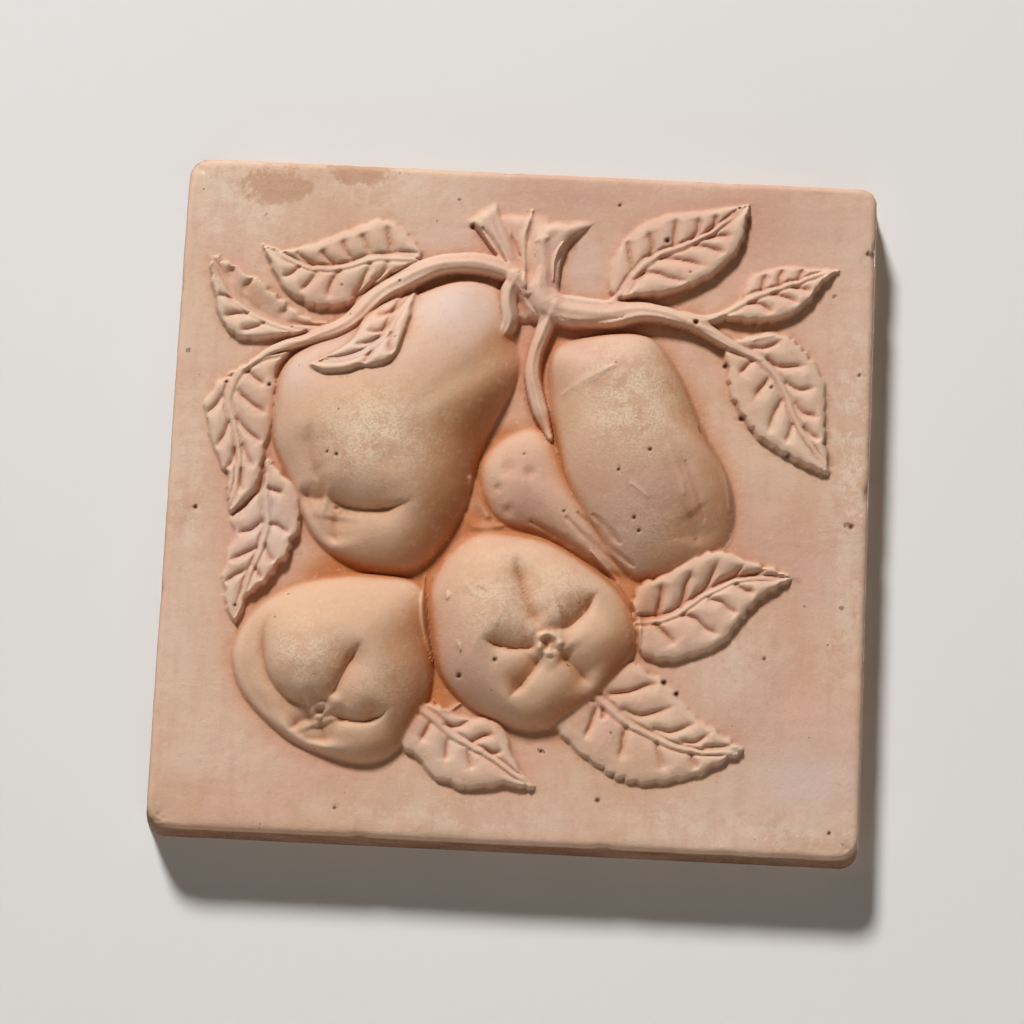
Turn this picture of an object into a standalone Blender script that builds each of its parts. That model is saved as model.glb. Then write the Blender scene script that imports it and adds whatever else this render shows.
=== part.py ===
"""Decorative wall plaque: a square slab of fired clay, pressed in one go with a relief of pears and
quinces on their leafy twigs. Metres, +Z up. The back lies in the plane y = 0 against the wall, the
origin is the middle of the back, and the relief faces -Y."""

import math

import bmesh
import bpy
import numpy as np

# Slab
PLAQUE_WIDTH = 0.200
PLAQUE_HEIGHT = 0.194
SLAB_THICKNESS = 0.018
SIDE_DRAFT = 0.0015
CORNER_RADIUS = 0.0055
FRONT_EDGE_RADIUS = 0.0024
BACK_EDGE_RADIUS = 0.0008
CORNER_STEPS = 5
EDGE_STEPS = 3

# Blind slot in the back that a nail head goes into
NAIL_SLOT_WIDTH = 0.016
NAIL_SLOT_HEIGHT = 0.009
NAIL_SLOT_DEPTH = 0.009
NAIL_SLOT_BELOW_TOP = 0.0225
NAIL_SLOT_CORNER = 0.003

# Relief: how far each kind of form stands out of the slab's face
UPPER_PEAR_RISE = 0.0155
RIGHT_PEAR_RISE = 0.0135
SMALL_FRUIT_RISE = 0.0065
MIDDLE_QUINCE_RISE = 0.0140
LOWER_QUINCE_RISE = 0.0145
LEAF_RISE = 0.0028
LEAF_EDGE_RISE = 0.0015
LEAF_GROOVE_DEPTH = 0.0009
TWIG_RISE = 0.0050
CREASE_DEPTH = 0.0030
CREASE_HALF_WIDTH = 0.0026
CALYX_RADIUS = 0.0026
CALYX_DEPTH = 0.0014
TOOTH_DEPTH = 0.0012

# How round a fruit is: 0.5 meets the slab upright, 1 meets it at a slant
FRUIT_ROUNDNESS = 0.75
# A crease runs out over this much of the fruit's reach, next to its outline
CREASE_RUN_OUT = 0.17

# Places in the relief are in two-hundredths of the width of a 200 x 194 field, which the relief keeps
FIELD_WIDTH = 200
FIELD_HEIGHT = 194
UNIT = min(PLAQUE_WIDTH / FIELD_WIDTH, PLAQUE_HEIGHT / FIELD_HEIGHT)

# Every form goes on into the slab, each to a depth of its own
ROOT_SHARE = 0.15
ROOT_SPREAD = 0.25

# Fruit: outline from the stalk round, the crown that it is highest at, and the calyx with the
# directions of the creases that leave it: (degrees at the calyx, degrees at the crease's end, length)
FRUITS = {
    "upper_pear": {
        "outline": (
            (-3, 46), (-1.5, 36), (-10, 16), (-15.5, -5), (-27, -20.5), (-41, -21.8), (-56, -13.5),
            (-65.5, 4.8), (-70.2, 18), (-67, 37), (-50, 49), (-30, 59), (-15.5, 64), (-4.5, 58.5),
        ),
        "crown": (-39, 16), "rise": UPPER_PEAR_RISE, "power": 2.2,
        "calyx": (-50, -5.5), "creases": ((12, 5, 30), (150, 140, 15), (268, 272, 14)),
    },
    "right_pear": {
        "outline": (
            (8, 44), (20, 49), (34.5, 49), (43.5, 39), (52, 21), (60, 6), (59.5, -9), (46, -17.5),
            (31, -20.5), (14, -11), (7.5, -1), (10, 14), (7.2, 30),
        ),
        "crown": (34, 15), "rise": RIGHT_PEAR_RISE, "power": 2.3, "calyx": None, "creases": (),
    },
    "small_fruit": {
        "outline": ((8, 20), (-3, 19), (-10.9, 11), (-10, 2), (-4, -6), (10, -9), (18, 4)),
        "crown": (1, 7), "rise": SMALL_FRUIT_RISE, "power": 2.0, "calyx": None, "creases": (),
    },
    "middle_quince": {
        "outline": (
            (-5, -9), (-14.5, -10.8), (-22, -21), (-24, -32), (-19.8, -49), (-9.8, -58.5),
            (6, -64), (20, -58.2), (31, -47), (35.3, -36), (29, -23.4), (11, -11.4),
        ),
        "crown": (4, -35), "rise": MIDDLE_QUINCE_RISE, "power": 2.3,
        "calyx": (10.7, -40.2),
        "creases": ((50, 48, 20), (120, 115, 24), (184, 177, 20), (241, 236, 19), (322, 320, 17)),
    },
    "lower_quince": {
        "outline": (
            (-22, -38), (-25.5, -25), (-40, -22.2), (-57, -25), (-70, -32), (-77, -44), (-74.5, -56),
            (-65, -66), (-54.5, -71.8), (-39, -75), (-29, -70), (-21.5, -55),
        ),
        "crown": (-47, -46), "rise": LOWER_QUINCE_RISE, "power": 2.2,
        "calyx": (-51.4, -61.4),
        "creases": ((64, 62, 22), (140, 128, 34), (208, 214, 10), (275, 275, 9), (350, 366, 21)),
    },
}

# Leaf: its rib from base to tip, then each side as (half width, share of the rib where it is widest,
# fullness), the left side of the rib's own way first
LEAVES = {
    "top_left": {"rib": ((-30, 67.5), (-44, 68), (-60, 64), (-76, 70.5)),
                 "left": (10.6, 0.58, 1.5), "right": (11, 0.33, 0.55), "teeth": 6},
    "far_left": {"rib": ((-57, 46.5), (-70, 47.5), (-82, 54), (-90.3, 66.5)),
                 "left": (7.6, 0.55, 2.2), "right": (8.2, 0.57, 0.95), "teeth": 5},
    "over_pear": {"rib": ((-31, 61.5), (-37.5, 51), (-45, 38.6), (-60.5, 35.6)),
                  "left": (6.2, 0.45, 0.98), "right": (8.3, 0.5, 1.2), "teeth": 5,
                  "over": ("upper_pear",)},
    "left_upper": {"rib": ((-66, 40.5), (-79, 35.5), (-82, 20), (-78, 6), (-80, -7)),
                   "left": (13.6, 0.36, 0.86), "right": (8.0, 0.62, 1.8), "teeth": 6},
    "left_lower": {"rib": ((-71, 6), (-69.5, -10), (-73, -24), (-76.8, -37.5)),
                   "left": (8.2, 0.32, 0.45), "right": (12, 0.47, 1.1), "teeth": 6},
    "top_right": {"rib": ((26.5, 59.4), (39, 72.5), (50.6, 77.8), (61.8, 87.4)),
                  "left": (10.5, 0.34, 0.45), "right": (12.4, 0.46, 0.81), "teeth": 6},
    "small_right": {"rib": ((53, 54.3), (64, 61.5), (76, 67), (87, 70.8)),
                    "left": (6.6, 0.5, 1.8), "right": (9.6, 0.5, 1.3), "teeth": 5},
    "hanging_right": {"rib": ((56, 47), (70, 40.5), (77, 26), (86.8, 12)),
                      "left": (11.6, 0.5, 1.4), "right": (14.5, 0.34, 0.45), "teeth": 6},
    "beside_quince": {"rib": ((27, -31), (43.5, -30.5), (57, -22), (76.8, -18.3)),
                      "left": (13, 0.42, 0.75), "right": (13.3, 0.46, 0.81), "teeth": 6},
    "bottom_right": {"rib": ((17, -47), (32, -60), (46, -66.2), (66.2, -66.7)),
                     "left": (16, 0.42, 0.7), "right": (15.6, 0.38, 0.7), "teeth": 7},
    "bottom_middle": {"rib": ((-27, -56), (-17, -65.4), (-6, -72), (8.7, -79.5)),
                      "left": (9.8, 0.5, 1.3), "right": (12.4, 0.42, 0.88), "teeth": 6},
}

# Twig or stalk: its middle line and its half width at even steps along it
TWIGS = {
    "left_branch": {"line": ((2, 60), (-10, 67.2), (-26, 67), (-42, 57), (-55, 46), (-72, 39.5)),
                    "half_widths": (3.2, 2.7, 2.3, 2.2, 2.0, 1.5), "over": ("upper_pear",)},
    "right_branch": {"line": ((0, 58), (14, 56.2), (36, 57.2), (49, 52.5), (60, 46.5)),
                     "half_widths": (4.6, 4.2, 2.4, 2.1, 1.6)},
    "leaf_stalk": {"line": ((44, 55.5), (50, 54.2), (57, 57)), "half_widths": (1.8, 1.6, 1.2)},
    "upper_pear_stalk": {"line": ((0, 64), (-3, 56), (-5, 50), (-9, 45)),
                         "half_widths": (2.6, 2.3, 2.0, 1.2), "over": ("upper_pear",)},
    "right_pear_stalk": {"line": ((6, 56), (3, 46), (2.4, 32), (8.5, 18)),
                         "half_widths": (2.6, 2.2, 2.1, 2.0), "over": ("right_pear", "small_fruit")},
    "left_stub": {"line": ((2, 60), (-4, 69), (-10, 76), (-16, 82.5)),
                  "half_widths": (4.0, 2.6, 3.4, 5.4)},
    "right_stub": {"line": ((4, 56), (4, 66), (4.6, 74), (9, 81)),
                   "half_widths": (5.0, 4.6, 5.8, 8.4)},
}

# A leaf's cross-section: shares of its half width where the edge's top, the blade and the groove beside
# the midrib are, and how the edge and the midrib come down at the leaf's two ends
LEAF_EDGE_AT = 0.95
LEAF_BLADE_AT = 0.55
LEAF_GROOVE_AT = 0.14
LEAF_END_EDGE = 0.7
LEAF_END_RIB = 0.6
# A leaf is no narrower than this, in field units, and its teeth shrink where it is narrower than that
LEAF_LEAST_WIDTH = 0.35
FULL_TOOTH_WIDTH = 4
LEAF_END_SHARE = 0.03
# Share of a twig's rise that its lowest edge has
TWIG_EDGE_SHARE = 0.1
# How much of an inset the slab's corners take off their radius
CORNER_TIGHTENING = 0.5

CLAY_COLOUR = (0.60, 0.33, 0.21, 1)
CLAY_ROUGHNESS = 0.85

# How finely the forms are faceted
OUTLINE_STEPS = 10
RIB_POINTS_PER_STATION = 8
RIM_SAMPLES = 24
SPOKE_SPACING = 5.6
PLAIN_SECTORS = 5
SECTOR_SHARES = (0, 0.13, 0.31, 0.5, 0.69, 0.87)
CALYX_RINGS = (0.55, 1.15, 1.9)
REACH_SHARES = (0.1, 0.2, 0.32, 0.45, 0.58, 0.7, 0.81, 0.9, 0.96, 0.99)
PLAIN_SHARES = (0.18, 0.36, 0.54, 0.7, 0.82, 0.91, 0.97, 0.992)
STATIONS_PER_TOOTH = 2
VEIN_SWEEP = 0.13
TWIG_STATIONS_PER_SPAN = 3
TWIG_SIDES = (-90, -62, -34, 0, 34, 62, 90)
SHARP_ANGLE = 40


def smooth_line(points, steps, closed=False):
    """Points along a smooth curve through the given ones, some steps between each two."""
    given = [np.array(point, float) for point in points]
    if closed:
        given = [given[-1], *given, given[0], given[1]]
    else:
        given = [2 * given[0] - given[1], *given, 2 * given[-1] - given[-2]]
    found = []
    for before, start, end, after in zip(given, given[1:], given[2:], given[3:]):
        for step in range(steps):
            t = step / steps
            bend = 2 * before - 5 * start + 4 * end - after
            twist = 3 * start - before - 3 * end + after
            found.append(0.5 * (2 * start + (end - before) * t + bend * t**2 + twist * t**3))
    if not closed:
        found.append(given[-2])
    return np.array(found)


def even_points(line, count):
    """The line again as a number of points at even steps along it."""
    lengths = np.concatenate([[0], np.cumsum(np.hypot(*np.diff(line, axis=0).T))])
    wanted = np.linspace(0, lengths[-1], count)
    return np.stack([np.interp(wanted, lengths, line[:, axis]) for axis in (0, 1)], axis=1)


def reach(outline, centre, angle):
    """How far it is from the centre to the outline, that way."""
    offset = outline - np.array(centre)
    angles = np.arctan2(offset[:, 1], offset[:, 0])
    order = np.argsort(angles)
    return float(np.interp(angle, angles[order], np.hypot(*offset[order].T), period=2 * math.pi))


def rim_length(outline, centre, start, end):
    """Length of the outline between two directions from the centre."""
    angles = np.linspace(start, end, RIM_SAMPLES)
    reaches = np.array([reach(outline, centre, angle) for angle in angles])
    rim = np.stack([reaches * np.cos(angles), reaches * np.sin(angles)], axis=1)
    return float(np.hypot(*np.diff(rim, axis=0).T).sum())


def crease_angle(crease, distance):
    """Where a crease runs, at a distance from the calyx: it turns evenly along its length."""
    start, end, length = crease
    return math.radians(start + (end - start) * min(distance / length, 1))


def fruit_height(fruit, outline, x, z):
    """Height of the fruit's surface over the slab's face, in metres, at a place in field units."""
    crown = fruit["crown"]
    distance = math.hypot(x - crown[0], z - crown[1])
    share = distance / reach(outline, crown, math.atan2(z - crown[1], x - crown[0]))
    if share >= 1:
        return 0.0
    height = fruit["rise"] * (1 - share ** fruit["power"]) ** FRUIT_ROUNDNESS
    if fruit["calyx"] is None:
        return height
    along = math.hypot(x - fruit["calyx"][0], z - fruit["calyx"][1])
    angle = math.atan2(z - fruit["calyx"][1], x - fruit["calyx"][0])
    height -= CALYX_DEPTH * math.exp(-((along * UNIT / CALYX_RADIUS) ** 2))
    for crease in fruit["creases"]:
        turn = abs(math.remainder(angle - crease_angle(crease, along), 2 * math.pi))
        across = along * math.sin(min(turn, math.pi / 2)) * UNIT
        fade = max(0.0, 1 - (along / crease[2]) ** 2) * min(1.0, (1 - share) / CREASE_RUN_OUT)
        height -= CREASE_DEPTH * fade * math.exp(-((across / CREASE_HALF_WIDTH) ** 2))
    return height


def ground_height(x, z, under):
    """Height of the highest of some fruits at a place."""
    return max([0.0, *(fruit_height(FRUITS[name], OUTLINES[name], x, z) for name in under)])


def place(x, z, height):
    """A place in the relief and its height over the face, as a point of the plaque."""
    return (x * UNIT, -SLAB_THICKNESS - height, z * UNIT)


def root_of(index):
    """How deep a form goes on into the slab: no two end in the same plane."""
    return SLAB_THICKNESS * (ROOT_SHARE + ROOT_SPREAD * index / FORM_COUNT)


def closed_mesh(name, rows, first, last):
    """A closed solid skinned over rows of points, each row joined round to its own start. first and last
    are the points that the ends close at, or None for an end that is closed across."""
    mesh = bmesh.new()
    made = [[mesh.verts.new(point) for point in row] for row in rows]
    for row, next_row in zip(made, made[1:]):
        for i in range(len(row)):
            j = (i + 1) % len(row)
            mesh.faces.new((row[i], row[j], next_row[j], next_row[i]))
    for ends, end in ((made[0], first), (made[-1], last)):
        if end is None:
            mesh.faces.new(ends)
            continue
        top = mesh.verts.new(end)
        for i in range(len(ends)):
            mesh.faces.new((ends[i], ends[(i + 1) % len(ends)], top))
    bmesh.ops.recalc_face_normals(mesh, faces=mesh.faces)
    bmesh.ops.triangulate(mesh, faces=mesh.faces)
    data = bpy.data.meshes.new(name)
    mesh.to_mesh(data)
    mesh.free()
    data.shade_smooth()
    data.set_sharp_from_angle(angle=math.radians(SHARP_ANGLE))
    return bpy.data.objects.new(name, data)


def fruit_form(name, index):
    """A fruit: rings about its calyx, or its crown where it shows none, whose spokes follow the creases."""
    fruit, outline = FRUITS[name], OUTLINES[name]
    centre = fruit["calyx"] or fruit["crown"]
    creases = sorted(fruit["creases"])
    if not creases:
        creases = [(360 * k / PLAIN_SECTORS,) * 2 + (1,) for k in range(PLAIN_SECTORS)]
    near = [CALYX_RADIUS / UNIT * ring for ring in CALYX_RINGS] if fruit["calyx"] else []
    shares = REACH_SHARES if fruit["calyx"] else PLAIN_SHARES
    longest = max(crease[2] for crease in creases)

    ends = [crease_angle(crease, longest) for crease in creases]
    counts = [
        max(1, round(rim_length(outline, centre, a, b) / SPOKE_SPACING / len(SECTOR_SHARES)))
        for a, b in zip(ends, ends[1:] + [ends[0] + 2 * math.pi])
    ]

    def spoke_angles(distance):
        angles = [crease_angle(crease, distance) for crease in creases]
        found = []
        for start, end, count in zip(angles, angles[1:] + [angles[0] + 2 * math.pi], counts):
            for part in range(count):
                low = start + (end - start) * part / count
                high = start + (end - start) * (part + 1) / count
                found += [low + (high - low) * share for share in SECTOR_SHARES]
        return found

    rings = [[(r, angle) for angle in spoke_angles(r)] for r in near]
    base = near[-1] if near else 0
    for share in shares:
        ring = []
        for angle in spoke_angles(longest * share):
            full = reach(outline, centre, angle)
            ring.append((base + (full - base) * share, angle))
        rings.append(ring)
    rows = []
    for ring in rings:
        row = []
        for r, angle in ring:
            x, z = centre[0] + r * math.cos(angle), centre[1] + r * math.sin(angle)
            row.append(place(x, z, fruit_height(fruit, outline, x, z)))
        rows.append(row)
    foot = []
    for _, angle in rings[-1]:
        full = reach(outline, centre, angle)
        x, z = centre[0] + full * math.cos(angle), centre[1] + full * math.sin(angle)
        foot.append(place(x, z, -root_of(index)))
    rows.append(foot)
    top = place(*centre, fruit_height(fruit, outline, *centre))
    return closed_mesh(name, rows, top, None)


def side_width(side, share):
    """Half width of a leaf's side at a share of its rib: rising to the widest share, then falling."""
    width, widest, fullness = side
    fall = fullness * (1 - widest) / widest
    return width * (share / widest) ** fullness * ((1 - share) / (1 - widest)) ** fall


def leaf_form(name, index):
    """A leaf: rows across its rib, swept towards the tip as its veins are, with a tooth at every vein."""
    leaf = LEAVES[name]
    steps = leaf["teeth"] * STATIONS_PER_TOOTH + 1
    rib = even_points(smooth_line(leaf["rib"], OUTLINE_STEPS), RIB_POINTS_PER_STATION * steps)
    tangents = np.gradient(rib, axis=0)
    tangents /= np.hypot(*tangents.T)[:, None]
    tooth = TOOTH_DEPTH / UNIT / 2
    over = leaf.get("over", ())

    def on_rib(share):
        at = share * (len(rib) - 1)
        low = min(int(at), len(rib) - 2)
        return rib[low] + (rib[low + 1] - rib[low]) * (at - low), tangents[round(at)]

    rows = []
    for station in range(steps):
        share = station / (steps - 1)
        vein = station % STATIONS_PER_TOOTH == 0
        end = min(share, 1 - share) < 1e-6
        row = []
        for side, way in ((leaf["left"], 1), (leaf["right"], -1)):
            half = []
            for across in (1, LEAF_EDGE_AT, LEAF_BLADE_AT, LEAF_GROOVE_AT):
                swept = share + VEIN_SWEEP * across * 4 * share * (1 - share)
                middle, tangent = on_rib(min(swept, 1))
                inner = min(max(swept, LEAF_END_SHARE), 1 - LEAF_END_SHARE / RIB_POINTS_PER_STATION)
                width = max(side_width(side, inner), LEAF_LEAST_WIDTH)
                if not end:
                    width += (-tooth if vein else tooth) * min(1, width / FULL_TOOTH_WIDTH)
                normal = np.array((-tangent[1], tangent[0])) * way
                x, z = middle + normal * width * across
                if across == 1:
                    half.append(place(x, z, -root_of(index)))
                    continue
                if end:
                    rise = LEAF_EDGE_RISE * LEAF_END_EDGE
                elif across == LEAF_EDGE_AT:
                    rise = LEAF_EDGE_RISE
                elif across == LEAF_BLADE_AT and not vein:
                    rise = LEAF_RISE
                else:
                    rise = LEAF_RISE - LEAF_GROOVE_DEPTH
                half.append(place(x, z, ground_height(x, z, over) + rise))
            row.append(half)
        middle, _ = on_rib(share)
        crest = place(*middle, ground_height(*middle, over) + LEAF_RISE * (LEAF_END_RIB if end else 1))
        rows.append([*row[0], crest, *reversed(row[1])])
    return closed_mesh(name, rows, None, None)


def twig_form(name, index):
    """A twig or stalk: half rounds along its middle line."""
    twig = TWIGS[name]
    steps = (len(twig["line"]) - 1) * TWIG_STATIONS_PER_SPAN + 1
    line = even_points(smooth_line(twig["line"], OUTLINE_STEPS), steps)
    tangents = np.gradient(line, axis=0)
    tangents /= np.hypot(*tangents.T)[:, None]
    even = np.linspace(0, 1, len(twig["half_widths"]))
    rows = []
    for station in range(steps):
        half_width = float(np.interp(station / (steps - 1), even, twig["half_widths"]))
        normal = np.array((-tangents[station][1], tangents[station][0]))
        ground = ground_height(*line[station], twig.get("over", ()))
        row = []
        for degrees in TWIG_SIDES:
            side = math.sin(math.radians(degrees))
            lift = math.cos(math.radians(degrees))
            x, z = line[station] + normal * half_width * side
            if abs(degrees) == 90:
                height = -root_of(index)
            else:
                height = ground + TWIG_RISE * (TWIG_EDGE_SHARE + (1 - TWIG_EDGE_SHARE) * lift)
            row.append(place(x, z, height))
        rows.append(row)
    return closed_mesh(name, rows, None, None)


def rounded_ring(half_width, half_height, radius, y):
    """A rectangle with round corners, as points in the plane of y."""
    ring = []
    for quarter in range(4):
        side_x = half_width - radius
        side_z = half_height - radius
        corner_x = side_x if quarter in (0, 3) else -side_x
        corner_z = side_z if quarter in (0, 1) else -side_z
        for step in range(CORNER_STEPS + 1):
            angle = math.pi / 2 * (quarter + step / CORNER_STEPS)
            ring.append((corner_x + radius * math.cos(angle), y, corner_z + radius * math.sin(angle)))
    return ring


def slab_form():
    """The slab: its back edge a little eased, its sides drafted, its front edge rounded."""
    half_width, half_height = PLAQUE_WIDTH / 2, PLAQUE_HEIGHT / 2
    rings = []
    for step in range(EDGE_STEPS + 1):
        angle = math.pi / 2 * step / EDGE_STEPS
        inset = BACK_EDGE_RADIUS * (1 - math.sin(angle))
        y = -BACK_EDGE_RADIUS * (1 - math.cos(angle))
        rings.append((inset, y))
    for step in range(EDGE_STEPS + 1):
        angle = math.pi / 2 * step / EDGE_STEPS
        inset = SIDE_DRAFT + FRONT_EDGE_RADIUS * (1 - math.cos(angle))
        y = -SLAB_THICKNESS + FRONT_EDGE_RADIUS * (1 - math.sin(angle))
        rings.append((inset, y))
    rows = [
        rounded_ring(half_width - inset, half_height - inset, CORNER_RADIUS - inset * CORNER_TIGHTENING, y)
        for inset, y in rings
    ]
    return closed_mesh("plaque", rows, None, None)


def nail_slot():
    """The cutter of the slot: it starts behind the back and keeps the slot's roof flat."""
    half_width = NAIL_SLOT_WIDTH / 2
    top = PLAQUE_HEIGHT / 2 - NAIL_SLOT_BELOW_TOP
    bottom = top - NAIL_SLOT_HEIGHT
    outline = [(half_width, top), (-half_width, top)]
    for quarter, corner_x in ((2, -half_width + NAIL_SLOT_CORNER), (3, half_width - NAIL_SLOT_CORNER)):
        for step in range(CORNER_STEPS + 1):
            angle = math.pi / 2 * (quarter + step / CORNER_STEPS)
            x = corner_x + NAIL_SLOT_CORNER * math.cos(angle)
            outline.append((x, bottom + NAIL_SLOT_CORNER * (1 + math.sin(angle))))
    rows = [[(x, y, z) for x, z in outline] for y in (NAIL_SLOT_DEPTH, -NAIL_SLOT_DEPTH)]
    cutter = closed_mesh("nail_slot_cutter", rows, None, None)
    cutter.hide_render = True
    cutter.display_type = "WIRE"
    return cutter


def fired_clay():
    material = bpy.data.materials.new("fired_clay")
    material.use_nodes = True
    shader = material.node_tree.nodes["Principled BSDF"]
    shader.inputs["Base Color"].default_value = CLAY_COLOUR
    shader.inputs["Roughness"].default_value = CLAY_ROUGHNESS
    shader.inputs["Metallic"].default_value = 0.0
    return material


def relief_forms():
    """Every form of the relief, as a solid that the slab is joined to."""
    kinds = ((fruit_form, FRUITS), (leaf_form, LEAVES), (twig_form, TWIGS))
    wanted = [(make, name) for make, table in kinds for name in table]
    for index, (make, name) in enumerate(wanted):
        form = make(name, index)
        form.hide_render = True
        form.display_type = "WIRE"
        yield form


def build_plaque(collection):
    """The slab joined to its relief, with the slot for a nail cut in its back."""
    relief = bpy.data.collections.new("relief_forms")
    collection.children.link(relief)
    for form in relief_forms():
        relief.objects.link(form)
    plaque = slab_form()
    plaque.data.materials.append(fired_clay())
    cutter = nail_slot()
    for made in (plaque, cutter):
        collection.objects.link(made)
    union = plaque.modifiers.new("relief", "BOOLEAN")
    union.operation = "UNION"
    union.solver = "EXACT"
    union.operand_type = "COLLECTION"
    union.collection = relief
    slot = plaque.modifiers.new("nail_slot", "BOOLEAN")
    slot.operation = "DIFFERENCE"
    slot.solver = "EXACT"
    slot.object = cutter


FORM_COUNT = len(FRUITS) + len(LEAVES) + len(TWIGS)
OUTLINES = {
    name: smooth_line(fruit["outline"], OUTLINE_STEPS, closed=True) for name, fruit in FRUITS.items()
}

for old in list(bpy.data.objects):
    bpy.data.objects.remove(old, do_unlink=True)
build_plaque(bpy.context.scene.collection)
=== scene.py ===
"""Looks of the decorative wall plaque: its pressed relief in full detail, its fired clay, and the wall,
floor, light and camera that it is seen with. Places and heights on the relief are in units of a field
200 wide and 194 high, x to the right and z up, with heights over the slab's face."""

import math

import bpy
import numpy as np
from mathutils import Euler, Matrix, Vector


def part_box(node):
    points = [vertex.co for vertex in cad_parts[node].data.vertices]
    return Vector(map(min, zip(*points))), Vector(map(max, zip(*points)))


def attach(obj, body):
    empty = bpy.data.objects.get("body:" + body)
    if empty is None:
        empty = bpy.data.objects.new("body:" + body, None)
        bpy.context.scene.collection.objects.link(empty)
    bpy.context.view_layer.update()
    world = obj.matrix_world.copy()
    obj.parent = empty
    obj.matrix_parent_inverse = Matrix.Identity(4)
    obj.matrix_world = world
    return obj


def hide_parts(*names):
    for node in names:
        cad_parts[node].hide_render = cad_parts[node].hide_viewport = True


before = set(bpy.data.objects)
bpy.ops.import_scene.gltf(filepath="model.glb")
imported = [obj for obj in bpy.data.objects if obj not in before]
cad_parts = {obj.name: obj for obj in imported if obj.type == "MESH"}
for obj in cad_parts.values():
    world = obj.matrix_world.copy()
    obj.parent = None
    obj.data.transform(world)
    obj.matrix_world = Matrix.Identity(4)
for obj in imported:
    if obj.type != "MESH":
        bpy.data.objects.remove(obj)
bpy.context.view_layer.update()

# The slab, in field units
FIELD_WIDTH = 200
FIELD_HEIGHT = 194
SLAB_THICKNESS = 18.0
SIDE_DRAFT = 1.5
CORNER_RADIUS = 5.5
FRONT_EDGE_RADIUS = 2.4
BACK_EDGE_RADIUS = 0.8
NAIL_SLOT = {"width": 16.0, "height": 9.0, "depth": 9.0, "below_top": 22.5, "corner": 3.0}

# How fine the relief is worked out, and how many triangles are left of it
GRID_STEP = 0.37
TRIANGLES_WANTED = 192000
BACK_GRID_SHARE = 4
SHARP_ANGLE = 62

LOW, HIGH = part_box("plaque")
UNIT = min((HIGH.x - LOW.x) / FIELD_WIDTH, (HIGH.z - LOW.z) / FIELD_HEIGHT)
HALF_WIDTH = (HIGH.x - LOW.x) / UNIT / 2
HALF_HEIGHT = (HIGH.z - LOW.z) / UNIT / 2

# Fruit: outline, the crown that it is highest at, its rise and how flat its top is
FRUITS = {
    "upper_pear": {
        "outline": (
            (-3, 46), (-1.5, 36), (-10, 16), (-15.5, -5), (-27, -20.5), (-41, -21.8), (-56, -13.5),
            (-65.5, 4.8), (-70.2, 18), (-67, 37), (-50, 49), (-30, 59), (-15.5, 64), (-4.5, 58.5),
        ),
        "crown": (-39, 16), "rise": 15.5, "power": 2.2,
    },
    "right_pear": {
        "outline": (
            (8, 44), (20, 48.6), (34.5, 48.8), (43.5, 39), (52, 21), (60, 6), (59.5, -9), (46, -17.5),
            (33, -20.5), (21, -10.5), (13, 2), (10, 14), (7.2, 30),
        ),
        "crown": (25, 32), "rise": 12.8, "power": 2.7,
    },
    "small_fruit": {
        "outline": (
            (8, 20), (-3, 19), (-10.9, 11), (-10, 2), (-4, -6), (8, -9.5), (22, -17), (31, -20),
            (30, -10), (18, 6),
        ),
        "crown": (1, 7), "rise": 6.5, "power": 2.0,
    },
    "middle_quince": {
        "outline": (
            (-5, -9), (-14.5, -10.8), (-22, -21), (-24, -32), (-19.8, -49), (-9.8, -58.5), (6, -64),
            (20, -58.2), (31, -47), (35.3, -36), (29, -23.4), (11, -11.4),
        ),
        "crown": (4, -35), "rise": 14.0, "power": 2.3,
    },
    "lower_quince": {
        "outline": (
            (-22, -38), (-25.5, -25), (-40, -22.2), (-57, -25), (-70, -32), (-77, -44), (-74.5, -56),
            (-65, -66), (-54.5, -71.8), (-39, -75), (-29, -70), (-21.5, -55),
        ),
        "crown": (-47, -46), "rise": 14.5, "power": 2.2,
    },
}
# Where a fruit is flatter: the fruit, its place, radius each way and depth
FRUIT_SLOPES = (
    ("right_pear", (14, 45), (7, 5), 1.4), ("right_pear", (9, 30), (4, 10), 1.4),
    ("upper_pear", (-12, 54), (12, 10), 1.4), ("right_pear", (54, -8), (7, 8), 1.0),
    ("small_fruit", (0, 10), (8, 7), 0.8), ("middle_quince", (-8, -12), (10, 5), 0.8),
)
FRUIT_ROUNDNESS = 0.75
FRUIT_FALL = 3.0

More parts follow.
